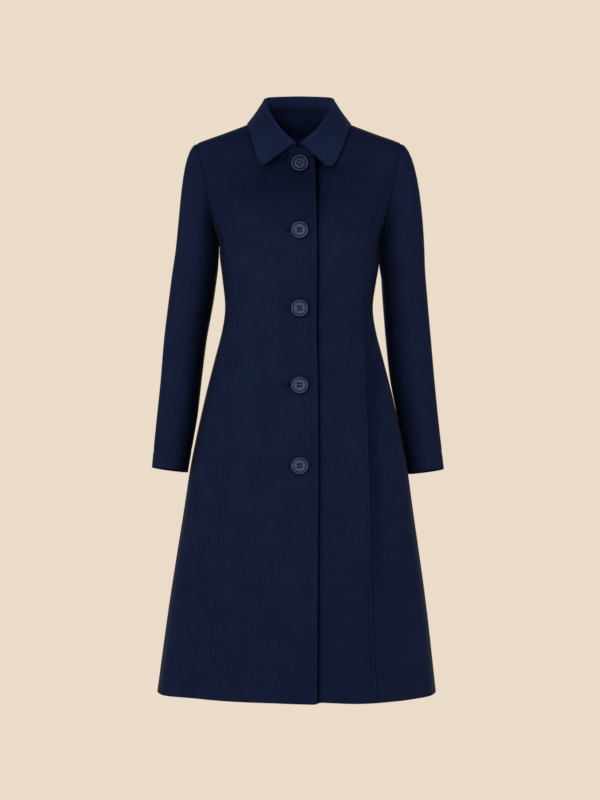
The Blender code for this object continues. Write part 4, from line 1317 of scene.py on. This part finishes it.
# Painted light and shade on the fall: lighter overall, with highlights along the roll and on the crest,
# shade at the ends, and a lighter leg inside the neck
def fall_tones(grid):
    leg = len(LEG_PLACES)
    from_roll = np.linalg.norm(grid - grid[leg + ROLL_STEPS - 1], axis=-1)
    tone = COLLAR_TONE + ROLL_TONE * fading(from_roll, ROLL_TONE_REACH)
    tone += CREST_TONE * ramp(grid[..., 2], CREST_TONE_START, CREST_TONE_END)
    tone += COLLAR_END_TONE * near_ends(grid, COLLAR_END_REACH)
    rising = mix(COLLAR_LEG_LOW_TONE, COLLAR_LEG_TONE, np.array(LEG_PLACES))[:, None]
    tone[:leg] = rising * painted_inside_light(grid[:leg])
    tone[leg:leg + ROLL_STEPS // 2] = COLLAR_LEG_TONE
    return tone


def link_object(name, data):
    """New object in the scene for a mesh, a light or a camera."""
    item = bpy.data.objects.new(name, data)
    bpy.context.scene.collection.objects.link(item)
    return item


def mesh_object(name, bm):
    mesh = bpy.data.meshes.new(name)
    bm.to_mesh(mesh)
    bm.free()
    return link_object(name, mesh)


def reached_over(grid):
    """Grid with its edges drawn out a little, so that no light passes the seams."""
    wide = grid.copy()
    for edge, inner in ((np.s_[:, 0], np.s_[:, 1]), (np.s_[:, -1], np.s_[:, -2]), (0, 1), (-1, -2)):
        wide[edge] += normalized(grid[edge] - grid[inner]) * SEAM_OVERLAP
    return wide


def flat_places(grid):
    """Length along and across the cloth at each point, which its weave follows."""
    along = np.linalg.norm(np.diff(grid, axis=1), axis=-1)
    across = np.linalg.norm(np.diff(grid, axis=0), axis=-1)
    u = np.pad(np.cumsum(along, axis=1), ((0, 0), (1, 0)))
    v = np.pad(np.cumsum(across, axis=0), ((1, 0), (0, 0)))
    return np.stack((u - u[:, u.shape[1] // 2, None], v), axis=-1).reshape(-1, 2)


def cloth_object(name, grid, tone):
    """Cloth sheet on a grid of points, with its weave's places and its painted light and shade."""
    rows, columns = grid.shape[:2]
    flat = flat_places(grid)
    bm = bmesh.new()
    bmesh.ops.create_grid(bm, x_segments=columns - 1, y_segments=rows - 1, size=1.0)
    for vert, point in zip(bm.verts, grid.reshape(-1, 3)):
        vert.co = point
    layer = bm.loops.layers.uv.new("cloth")
    bm.verts.index_update()
    for face in bm.faces:
        face.smooth = True
        for loop in face.loops:
            loop[layer].uv = flat[loop.vert.index]
    piece = mesh_object(name, bm)
    # The 'nap' attribute holds the painted light and shade of the piece
    nap = piece.data.attributes.new("nap", "FLOAT", "POINT")
    nap.data.foreach_set("value", tone.astype(np.float32).ravel())
    return piece


def add_cloth(node, grid, tone, thickness, edge_round, doubled=None, thin_share=1.0):
    """Cloth piece for a node: its thickness on the inside, soft edges, finish and place."""
    piece = cloth_object(f"wool_{node}", reached_over(grid), tone)
    shell = piece.modifiers.new("cloth thickness", "SOLIDIFY")
    shell.thickness = thickness
    shell.offset = -1.0
    shell.use_even_offset = True
    shell.use_quality_normals = True
    if doubled is not None:
        group = piece.vertex_groups.new(name="doubled")
        for index, weight in enumerate(doubled.reshape(-1)):
            group.add([index], float(weight), "REPLACE")
        shell.vertex_group = group.name
        shell.thickness_vertex_group = thin_share
    soft = piece.modifiers.new("soft edges", "BEVEL")
    soft.limit_method = "ANGLE"
    soft.angle_limit = math.radians(EDGE_ANGLE)
    soft.width = edge_round
    soft.segments = EDGE_STEPS
    piece.data.materials.append(shared_material("milled navy wool", paint_wool))
    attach(piece, BODY)
    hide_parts(node)


def set_inputs(owner, node, inputs):
    """Gives a node's sockets their values, or links them to another node's output."""
    for socket, value in inputs:
        if isinstance(value, bpy.types.NodeSocket):
            owner.node_tree.links.new(value, node.inputs[socket])
        else:
            node.inputs[socket].default_value = value


def add_node(owner, kind, inputs=(), **settings):
    """Adds a node with its settings and inputs to a material or world."""
    node = owner.node_tree.nodes.new(kind)
    for name, value in settings.items():
        setattr(node, name, value)
    set_inputs(owner, node, inputs)
    return node


def shared_material(name, paint):
    """Material of a name, painted by a function the first time that it is asked for."""
    material = bpy.data.materials.get(name)
    if material is None:
        material = bpy.data.materials.new(name)
        material.use_nodes = True
        shader_inputs = paint(material, bpy.context.scene.coat_colours)
        set_inputs(material, material.node_tree.nodes["Principled BSDF"], shader_inputs)
    return material


def scaled(colour_value, share):
    """Opaque colour, darker or lighter than the given one."""
    return (*(share * value for value in colour_value), 1.0)


def paint_wool(material, colours):
    """Milled wool cloth: matt and dark, with short brushed fibres that catch light at the edges."""
    place = add_node(material, "ShaderNodeTexCoord")
    # Fibres are about 0.02 mm wide, so tufts of 2.2 mm stand for them here
    tuft = add_node(
        material, "ShaderNodeTexNoise",
        [("Vector", place.outputs["Object"]), ("Scale", 1.0 / 0.0022), ("Detail", 3.0), ("Roughness", 0.6)],
    )
    # Threads of 0.5 mm are drawn as streaks of about 1.5 by 24 mm, 660 and 42 to the metre
    streak_space = add_node(
        material, "ShaderNodeMapping", [("Vector", place.outputs["UV"]), ("Scale", (660.0, 42.0, 1.0))],
    )
    streak = add_node(
        material, "ShaderNodeTexNoise",
        [("Vector", streak_space.outputs["Vector"]), ("Scale", 1.0), ("Detail", 2.0)],
    )
    # The nap was brushed and pressed in soft patches of about 45 mm
    brushed = add_node(
        material, "ShaderNodeTexNoise",
        [("Vector", place.outputs["Object"]), ("Scale", 1.0 / 0.045), ("Detail", 2.0), ("Roughness", 0.5)],
    )
    threads = add_node(
        material, "ShaderNodeMath",
        [(0, streak.outputs["Fac"]), (1, 0.5), (2, tuft.outputs["Fac"])], operation="MULTIPLY_ADD",
    )
    total = add_node(
        material, "ShaderNodeMath",
        [(0, brushed.outputs["Fac"]), (1, 0.3), (2, threads.outputs[0])], operation="MULTIPLY_ADD",
    )
    depth = add_node(
        material, "ShaderNodeMapRange",
        [("Value", total.outputs[0]), ("From Min", 0.70), ("From Max", 1.10)],
    )
    tint = add_node(
        material, "ShaderNodeMix",
        [(0, depth.outputs["Result"]), (6, (*colours.wool_deep, 1.0)), (7, (*colours.wool_light, 1.0))],
        data_type="RGBA",
    )
    # The 'nap' attribute scales the colour by the piece's painted light and shade
    nap = add_node(material, "ShaderNodeAttribute", attribute_name="nap")
    toned = add_node(
        material, "ShaderNodeVectorMath",
        [(0, tint.outputs[2]), ("Scale", nap.outputs["Fac"])], operation="SCALE",
    )
    bump = add_node(
        material, "ShaderNodeBump",
        [("Height", threads.outputs[0]), ("Strength", 0.35), ("Distance", 0.0004)],
    )
    return [
        ("Base Color", toned.outputs[0]), ("Normal", bump.outputs["Normal"]), ("Roughness", 0.9),
        ("Specular IOR Level", 0.02), ("Sheen Weight", 0.088), ("Sheen Roughness", 0.28),
        ("Sheen Tint", (*colours.nap, 1.0)),
    ]


def paint_thread(material, colours):
    """Twisted polyester thread: a little smoother than the wool, in the same navy."""
    place = add_node(material, "ShaderNodeTexCoord")
    # Twist of about 0.8 mm
    twist_scale = 1.0 / 0.0008 / (2.0 * math.pi)
    twist = add_node(
        material, "ShaderNodeTexWave",
        [("Vector", place.outputs["Object"]), ("Scale", twist_scale), ("Distortion", 1.0)],
        bands_direction="DIAGONAL",
    )
    tint = add_node(
        material, "ShaderNodeMix",
        [(0, twist.outputs["Fac"]), (6, scaled(colours.thread, 0.6)), (7, (*colours.thread, 1.0))],
        data_type="RGBA",
    )
    return [("Base Color", tint.outputs[2]), ("Roughness", 0.8), ("Specular IOR Level", 0.05)]


def paint_button(material, colours):
    """Cast polyester resin with a satin polish: soft gloss and a faint cloudy tone."""
    place = add_node(material, "ShaderNodeTexCoord")
    # Clouds of about 6 mm in the casting
    cloud = add_node(
        material, "ShaderNodeTexNoise",
        [("Vector", place.outputs["Object"]), ("Scale", 1.0 / 0.006), ("Detail", 3.0)],
    )
    tint = add_node(
        material, "ShaderNodeMix",
        [(0, cloud.outputs["Fac"]), (6, scaled(colours.button, 0.8)), (7, scaled(colours.button, 1.2))],
        data_type="RGBA",
    )
    # The 'tone' attribute paints shade into the turned groove and the thread holes and a highlight on
    # the rim, and lowers the gloss where it darkens
    depth = add_node(material, "ShaderNodeAttribute", attribute_name="tone")
    toned = add_node(
        material, "ShaderNodeVectorMath",
        [(0, tint.outputs[2]), ("Scale", depth.outputs["Fac"])], operation="SCALE",
    )
    shine = add_node(
        material, "ShaderNodeMath", [(0, depth.outputs["Fac"]), (1, 0.25)], operation="MULTIPLY",
    )
    # Tumbling leaves scratches of about 0.5 mm
    polish = add_node(
        material, "ShaderNodeTexNoise",
        [("Vector", place.outputs["Object"]), ("Scale", 1.0 / 0.0005), ("Detail", 2.0)],
    )
    gloss = add_node(
        material, "ShaderNodeMapRange",
        [("Value", polish.outputs["Fac"]), ("To Min", 0.30), ("To Max", 0.48)],
    )
    return [
        ("Base Color", toned.outputs[0]), ("Specular IOR Level", shine.outputs[0]),
        ("Roughness", gloss.outputs["Result"]),
    ]


def paint_floor(material, colours):
    """Painted studio floor: pale, matt and almost even."""
    place = add_node(material, "ShaderNodeTexCoord")
    # Roller marks of about 0.2 m
    marks = add_node(
        material, "ShaderNodeTexNoise",
        [("Vector", place.outputs["Object"]), ("Scale", 1.0 / 0.2), ("Detail", 1.0)],
    )
    tint = add_node(
        material, "ShaderNodeMix",
        [(0, marks.outputs["Fac"]), (6, scaled(colours.floor, 0.97)), (7, (*colours.floor, 1.0))],
        data_type="RGBA",
    )
    return [("Base Color", tint.outputs[2]), ("Roughness", 0.9), ("Specular IOR Level", 0.1)]


def add_trim(piece, material):
    """Gives a button or sewn piece its finish and its place on the frame."""
    piece.data.shade_smooth()
    piece.data.materials.append(material)
    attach(piece, BODY)


def add_stitch(bm, start, end, normal, width):
    """One stitch: a slim rounded bead from its start to its end."""
    along = end - start
    across = normal.cross(along).normalized()
    up = along.cross(across).normalized()
    turn = Matrix((along.normalized(), across, up)).transposed().to_4x4()
    size = Matrix.Diagonal((along.length / 2.0, width / 2.0, width * STITCH_FLATNESS, 1.0))
    bmesh.ops.create_uvsphere(
        bm, u_segments=STITCH_SIDES, v_segments=STITCH_RINGS, radius=1.0,
        matrix=Matrix.Translation((start + end) / 2.0) @ turn @ size,
    )


def stitch_line(bm, points, sizes):
    """Row of single stitches along a line of points on the form."""
    normals = form_normal(form_angle(points), points[:, 2])
    steps = np.linalg.norm(np.diff(points, axis=0), axis=1)
    lengths = np.concatenate(([0.0], np.cumsum(steps)))

    def at(distance, values):
        return Vector([np.interp(distance, lengths, values[:, i]) for i in range(3)])

    pitch = sizes.stitch + sizes.stitch_gap
    for start in np.arange(sizes.stitch_gap, lengths[-1] - sizes.stitch, pitch):
        end = start + sizes.stitch
        add_stitch(bm, at(start, points), at(end, points), at((start + end) / 2.0, normals), sizes.thread)


def front_surface(x, height):
    """Point and outward direction on the outer face of the lapped right front."""
    angle = angle_at(x, height)
    normal = form_normal(angle, height)
    return Vector(form_point(angle, height) + normal * lap_lift(x)), Vector(normal)


def buttonhole_stitches(hole_length):
    """Place across, rise, and outward way of each stitch round a keyhole."""
    start = BUTTON_X + BUTTONHOLE_START
    run = hole_length - 2.0 * BUTTONHOLE_EYE - BUTTONHOLE_PURL
    stitches = []
    for x in np.arange(0.0, run, BUTTONHOLE_PITCH):
        for way in (1.0, -1.0):
            stitches.append((start - x, way * BUTTONHOLE_HALF_GAP, 0.0, way))
    for angle in np.radians(np.linspace(-EYE_TURN, EYE_TURN, EYE_STITCHES)):
        x = start - run - BUTTONHOLE_EYE * (1.0 + math.cos(angle))
        stitches.append((x, BUTTONHOLE_EYE * math.sin(angle), -math.cos(angle), math.sin(angle)))
    return stitches


def turned_button(name, profile):
    """Button turned from its profile, with four thread holes."""
    places = np.linspace(0, len(profile) - 1, (len(profile) - 1) * PROFILE_PARTS + 1)
    bm = bmesh.new()
    layer = bm.verts.layers.float.new("tone")
    verts = []
    for radius, height, tone in finer(np.array(profile), places):
        vert = bm.verts.new((max(radius, 0.0), 0.0, height))
        vert[layer] = tone
        verts.append(vert)
    edges = [bm.edges.new(pair) for pair in zip(verts, verts[1:])]
    bmesh.ops.spin(
        bm, geom=verts + edges, cent=(0, 0, 0), axis=(0, 0, 1), angle=2.0 * math.pi,
        steps=BUTTON_STEPS, use_merge=True, use_duplicate=False,
    )
    bmesh.ops.remove_doubles(bm, verts=bm.verts, dist=MERGE_DISTANCE)
    bmesh.ops.recalc_face_normals(bm, faces=bm.faces)
    button = mesh_object(name, bm)
    drill = hole_drill(name + "_holes")
    cut = button.modifiers.new("thread holes", "BOOLEAN")
    cut.operation = "DIFFERENCE"
    cut.solver = "EXACT"
    cut.object = drill
    bpy.context.view_layer.update()
    drilled = bpy.data.meshes.new_from_object(button.evaluated_get(bpy.context.evaluated_depsgraph_get()))
    button.modifiers.clear()
    button.data = drilled
    bpy.data.objects.remove(drill)
    return button


def hole_drill(name):
    """Four pins that cut a button's thread holes and leave painted shade, near black, on their walls."""
    bm = bmesh.new()
    layer = bm.verts.layers.float.new("tone")
    for x, y in HOLE_PLACES:
        bmesh.ops.create_cone(
            bm, cap_ends=True, segments=HOLE_STEPS, radius1=HOLE_RADIUS, radius2=HOLE_RADIUS,
            depth=HOLE_LENGTH, matrix=Matrix.Translation((x, y, 0.0)),
        )
    for vert in bm.verts:
        vert[layer] = HOLE_PAINTED_SHADE
    return mesh_object(name, bm)


def button_thread(name, crossed):
    """Thread down the four holes, and over the face where it is crossed."""
    bm = bmesh.new()
    sideways = Vector((1.0, 0.0, 0.0))
    for x, y in HOLE_PLACES:
        add_stitch(bm, Vector((x, y, PLUG_LOW)), Vector((x, y, PLUG_TOP)), sideways, PLUG_WIDTH)
    if crossed:
        upward = Vector((0.0, 0.0, 1.0))
        middle = upward * CROSSING_HEIGHT
        for way in (-1.0, 1.0):
            end = Vector((HOLE_OFFSET, way * HOLE_OFFSET, 0.0))
            add_stitch(bm, middle - end, middle + end, upward, CROSSING_WIDTH)
    return mesh_object(name, bm)


def button_setting(place):
    """Turn and place of a button on the lapped front."""
    angle = angle_at(BUTTON_X, place.height)
    normal = Vector(form_normal(angle, place.height))
    seat = Vector(form_point(angle, place.height)) + normal * (LAP_LIFT + place.seat + BUTTON_SHANK)
    leaning = Matrix.Rotation(math.radians(place.lean), 3, "X") @ normal
    facing = leaning.to_track_quat("Z", "Y").to_matrix().to_4x4()
    return Matrix.Translation(seat) @ facing @ Matrix.Rotation(math.radians(place.turn), 4, "Z")


def studio_floor():
    bm = bmesh.new()
    bmesh.ops.create_grid(bm, x_segments=FLOOR_PARTS, y_segments=FLOOR_PARTS, size=1.0)
    half_depth = (FLOOR_FAR - FLOOR_NEAR) / 2.0
    bmesh.ops.scale(bm, vec=(FLOOR_HALF_WIDTH, half_depth, 1.0), verts=bm.verts)
    bmesh.ops.translate(bm, vec=(0.0, FLOOR_NEAR + half_depth, FLOOR_HEIGHT), verts=bm.verts)
    floor = mesh_object("studio_floor", bm)
    floor.data.materials.append(shared_material("painted studio floor", paint_floor))
    return floor


def softbox(name, lamp):
    light = bpy.data.lights.new(name, "AREA")
    light.shape = "RECTANGLE"
    light.size = lamp.width
    light.size_y = lamp.height
    light.energy = lamp.power
    holder = link_object(name, light)
    holder.location = lamp.place
    way = Vector(lamp.aim) - Vector(lamp.place)
    holder.rotation_euler = way.to_track_quat("-Z", "Y").to_euler()


def studio_world(colours):
    """Even backdrop behind the coat, and a weaker light on it from all round."""
    world = bpy.data.worlds.new("studio")
    world.use_nodes = True
    seen = world.node_tree.nodes["Background"]
    set_inputs(world, seen, [("Color", (*colours.backdrop, 1.0))])
    lit = add_node(
        world, "ShaderNodeBackground", [("Color", (*colours.ambient, 1.0)), ("Strength", AMBIENT_SHARE)],
    )
    rays = add_node(world, "ShaderNodeLightPath")
    choice = add_node(
        world, "ShaderNodeMixShader",
        [(0, rays.outputs["Is Camera Ray"]), (1, lit.outputs[0]), (2, seen.outputs[0])],
    )
    set_inputs(world, world.node_tree.nodes["World Output"], [("Surface", choice.outputs[0])])
    return world


def studio_camera():
    camera = bpy.data.cameras.new("camera")
    camera.lens = CAMERA_LENS
    camera.clip_end = CAMERA_SIGHT
    holder = link_object("camera", camera)
    holder.location = CAMERA_PLACE
    holder.rotation_euler = (math.radians(90.0), 0.0, 0.0)
    return holder


class COAT_OT_fronts(bpy.types.Operator):
    """Makes the two centre fronts and the two side fronts"""

    bl_idname = "coat.fronts"
    bl_label = "Fronts"

    def execute(self, context):
        sizes = context.scene.coat_sizes
        for label, side in SIDES:
            grid, tone, doubled = (values[:, ::side] for values in front_grid(side, sizes))
            add_cloth(
                f"front_{label}", grid, tone, sizes.edge_wall, sizes.edge_round, doubled,
                sizes.wall / sizes.edge_wall,
            )
            grid, tone = (values[:, ::side] for values in side_grid(side))
            add_cloth(f"side_front_{label}", grid, tone, sizes.wall, sizes.edge_round)
        return {"FINISHED"}


class COAT_OT_backs(bpy.types.Operator):
    """Makes the two back halves"""

    bl_idname = "coat.backs"
    bl_label = "Backs"

    def execute(self, context):
        sizes = context.scene.coat_sizes
        for label, side in SIDES:
            grid, tone = (values[:, ::-side] for values in back_grid(side))
            add_cloth(f"back_{label}", grid, tone, sizes.wall, sizes.edge_round)
        return {"FINISHED"}


class COAT_OT_sleeves(bpy.types.Operator):
    """Makes the upper and under half of each sleeve"""

    bl_idname = "coat.sleeves"
    bl_label = "Sleeves"

    def execute(self, context):
        sizes = context.scene.coat_sizes
        arms = (RIGHT_SLEEVE, RIGHT_SLEEVE_CREASES), (LEFT_SLEEVE, LEFT_SLEEVE_CREASES)
        front = FRONT_SLEEVE_SEAM * LOOP_PARTS
        back = BACK_SLEEVE_SEAM * LOOP_PARTS
        for (label, side), (rows, creases) in zip(SIDES, arms):
            grid, tone = sleeve_grid(rows, side, creases)
            count = grid.shape[1]
            upper = np.arange(back, count + front + 1) % count
            under = np.arange(front, back + 1)
            for part, columns in (("upper", upper), ("under", under)):
                half = np.s_[::-1, columns[::-side]]
                add_cloth(f"sleeve_{part}_{label}", grid[half], tone[half], sizes.wall, sizes.edge_round)
        return {"FINISHED"}


class COAT_OT_collar(bpy.types.Operator):
    """Makes the collar's stand and its turned-down fall"""

    bl_idname = "coat.collar"
    bl_label = "Collar"

    def execute(self, context):
        sizes = context.scene.coat_sizes
        grid = stand_grid(sizes)
        add_cloth("collar_stand", grid, stand_tones(grid), sizes.wall, sizes.edge_round)
        grid = fall_grid(sizes)
        add_cloth("collar_fall", grid, fall_tones(grid), sizes.collar_wall, sizes.collar_round)
        return {"FINISHED"}


class COAT_OT_stitching(bpy.types.Operator):
    """Makes the stitching beside the princess seams and along the front edge"""

    bl_idname = "coat.stitching"
    bl_label = "Stitching"

    def execute(self, context):
        sizes = context.scene.coat_sizes
        seam_rows = len(row_places(CORNER_ROW, FRONT_ROW_PARTS))
        for label, side in SIDES:
            grid = front_grid(side, sizes)[0][:seam_rows]
            bm = bmesh.new()
            stitch_line(bm, grid[:, -1 - FELLED_COLUMNS.index(round(sizes.felled_inset, 4))], sizes)
            if side < 0:
                stitch_line(bm, grid[:, FRONT_EDGE_COLUMNS.index(round(sizes.front_inset, 4))], sizes)
            piece = mesh_object(f"stitching_{label}", bm)
            add_trim(piece, shared_material("navy sewing thread", paint_thread))
        return {"FINISHED"}


class COAT_OT_buttonholes(bpy.types.Operator):
    """Makes the worked buttonholes of the right front"""

    bl_idname = "coat.buttonholes"
    bl_label = "Buttonholes"

    def execute(self, context):
        above_cloth = context.scene.coat_sizes.thread * BUTTONHOLE_RISE
        for number, place in enumerate(BUTTON_PLACES, start=1):
            bm = bmesh.new()
            for x, rise, way_x, way_z in buttonhole_stitches(place.buttonhole):
                height = place.height + rise
                inner = front_surface(x, height)[0]
                outer, normal = front_surface(x + way_x * BUTTONHOLE_PURL, height + way_z * BUTTONHOLE_PURL)
                lifted = normal * above_cloth
                add_stitch(bm, inner + lifted, outer + lifted, normal, BUTTONHOLE_BEAD)
            piece = mesh_object(f"buttonhole_{number}", bm)
            add_trim(piece, shared_material("navy sewing thread", paint_thread))
        return {"FINISHED"}


class COAT_OT_buttons(bpy.types.Operator):
    """Makes the five sew-through buttons and their thread"""

    bl_idname = "coat.buttons"
    bl_label = "Buttons"

    def execute(self, context):
        for number, place in enumerate(BUTTON_PLACES, start=1):
            setting = button_setting(place)
            profile = TOP_BUTTON_PROFILE if number == 1 else BUTTON_PROFILE
            button = turned_button(f"resin_button_{number}", profile)
            button.data.transform(setting)
            add_trim(button, shared_material("cast navy resin", paint_button))
            button.data.set_sharp_from_angle(angle=math.radians(BUTTON_SHARP_ANGLE))
            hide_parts(f"button_{number}")
            thread = button_thread(f"button_thread_{number}", place.crossed)
            thread.data.transform(setting)
            add_trim(thread, shared_material("navy sewing thread", paint_thread))
        return {"FINISHED"}


class COAT_OT_stage(bpy.types.Operator):
    """Makes the floor, the soft studio light, the backdrop colour and the camera"""

    bl_idname = "coat.stage"
    bl_label = "Stage"

    def execute(self, context):
        scene = context.scene
        studio_floor()
        for number, lamp in enumerate(LAMPS, start=1):
            softbox(f"softbox_{number}", lamp)
        scene.world = studio_world(scene.coat_colours)
        scene.camera = studio_camera()
        scene.view_settings.view_transform = "Standard"
        return {"FINISHED"}


class COAT_PT_panel(bpy.types.Panel):
    """Lists the coat's pieces, sizes and colours"""

    bl_idname = "COAT_PT_panel"
    bl_label = "Long wool coat"
    bl_space_type = "VIEW_3D"
    bl_region_type = "UI"
    bl_category = "Coat"

    def draw(self, context):
        for operator in OPERATORS:
            self.layout.operator(operator.bl_idname)
        for group in (context.scene.coat_sizes, context.scene.coat_colours):
            for name in group.__annotations__:
                self.layout.prop(group, name)


OPERATORS = (
    COAT_OT_fronts, COAT_OT_backs, COAT_OT_sleeves, COAT_OT_collar,
    COAT_OT_stitching, COAT_OT_buttonholes, COAT_OT_buttons, COAT_OT_stage,
)
CLASSES = (CoatSizes, CoatColours) + OPERATORS + (COAT_PT_panel,)


def register():
    for item in CLASSES:
        bpy.utils.register_class(item)
    bpy.types.Scene.coat_sizes = PointerProperty(type=CoatSizes)
    bpy.types.Scene.coat_colours = PointerProperty(type=CoatColours)


def unregister():
    del bpy.types.Scene.coat_colours
    del bpy.types.Scene.coat_sizes
    for item in reversed(CLASSES):
        bpy.utils.unregister_class(item)


def main():
    register()
    bpy.ops.coat.fronts()
    bpy.ops.coat.backs()
    bpy.ops.coat.sleeves()
    bpy.ops.coat.collar()
    bpy.ops.coat.stitching()
    bpy.ops.coat.buttonholes()
    bpy.ops.coat.buttons()
    bpy.ops.coat.stage()


if __name__ == "__main__":
    main()
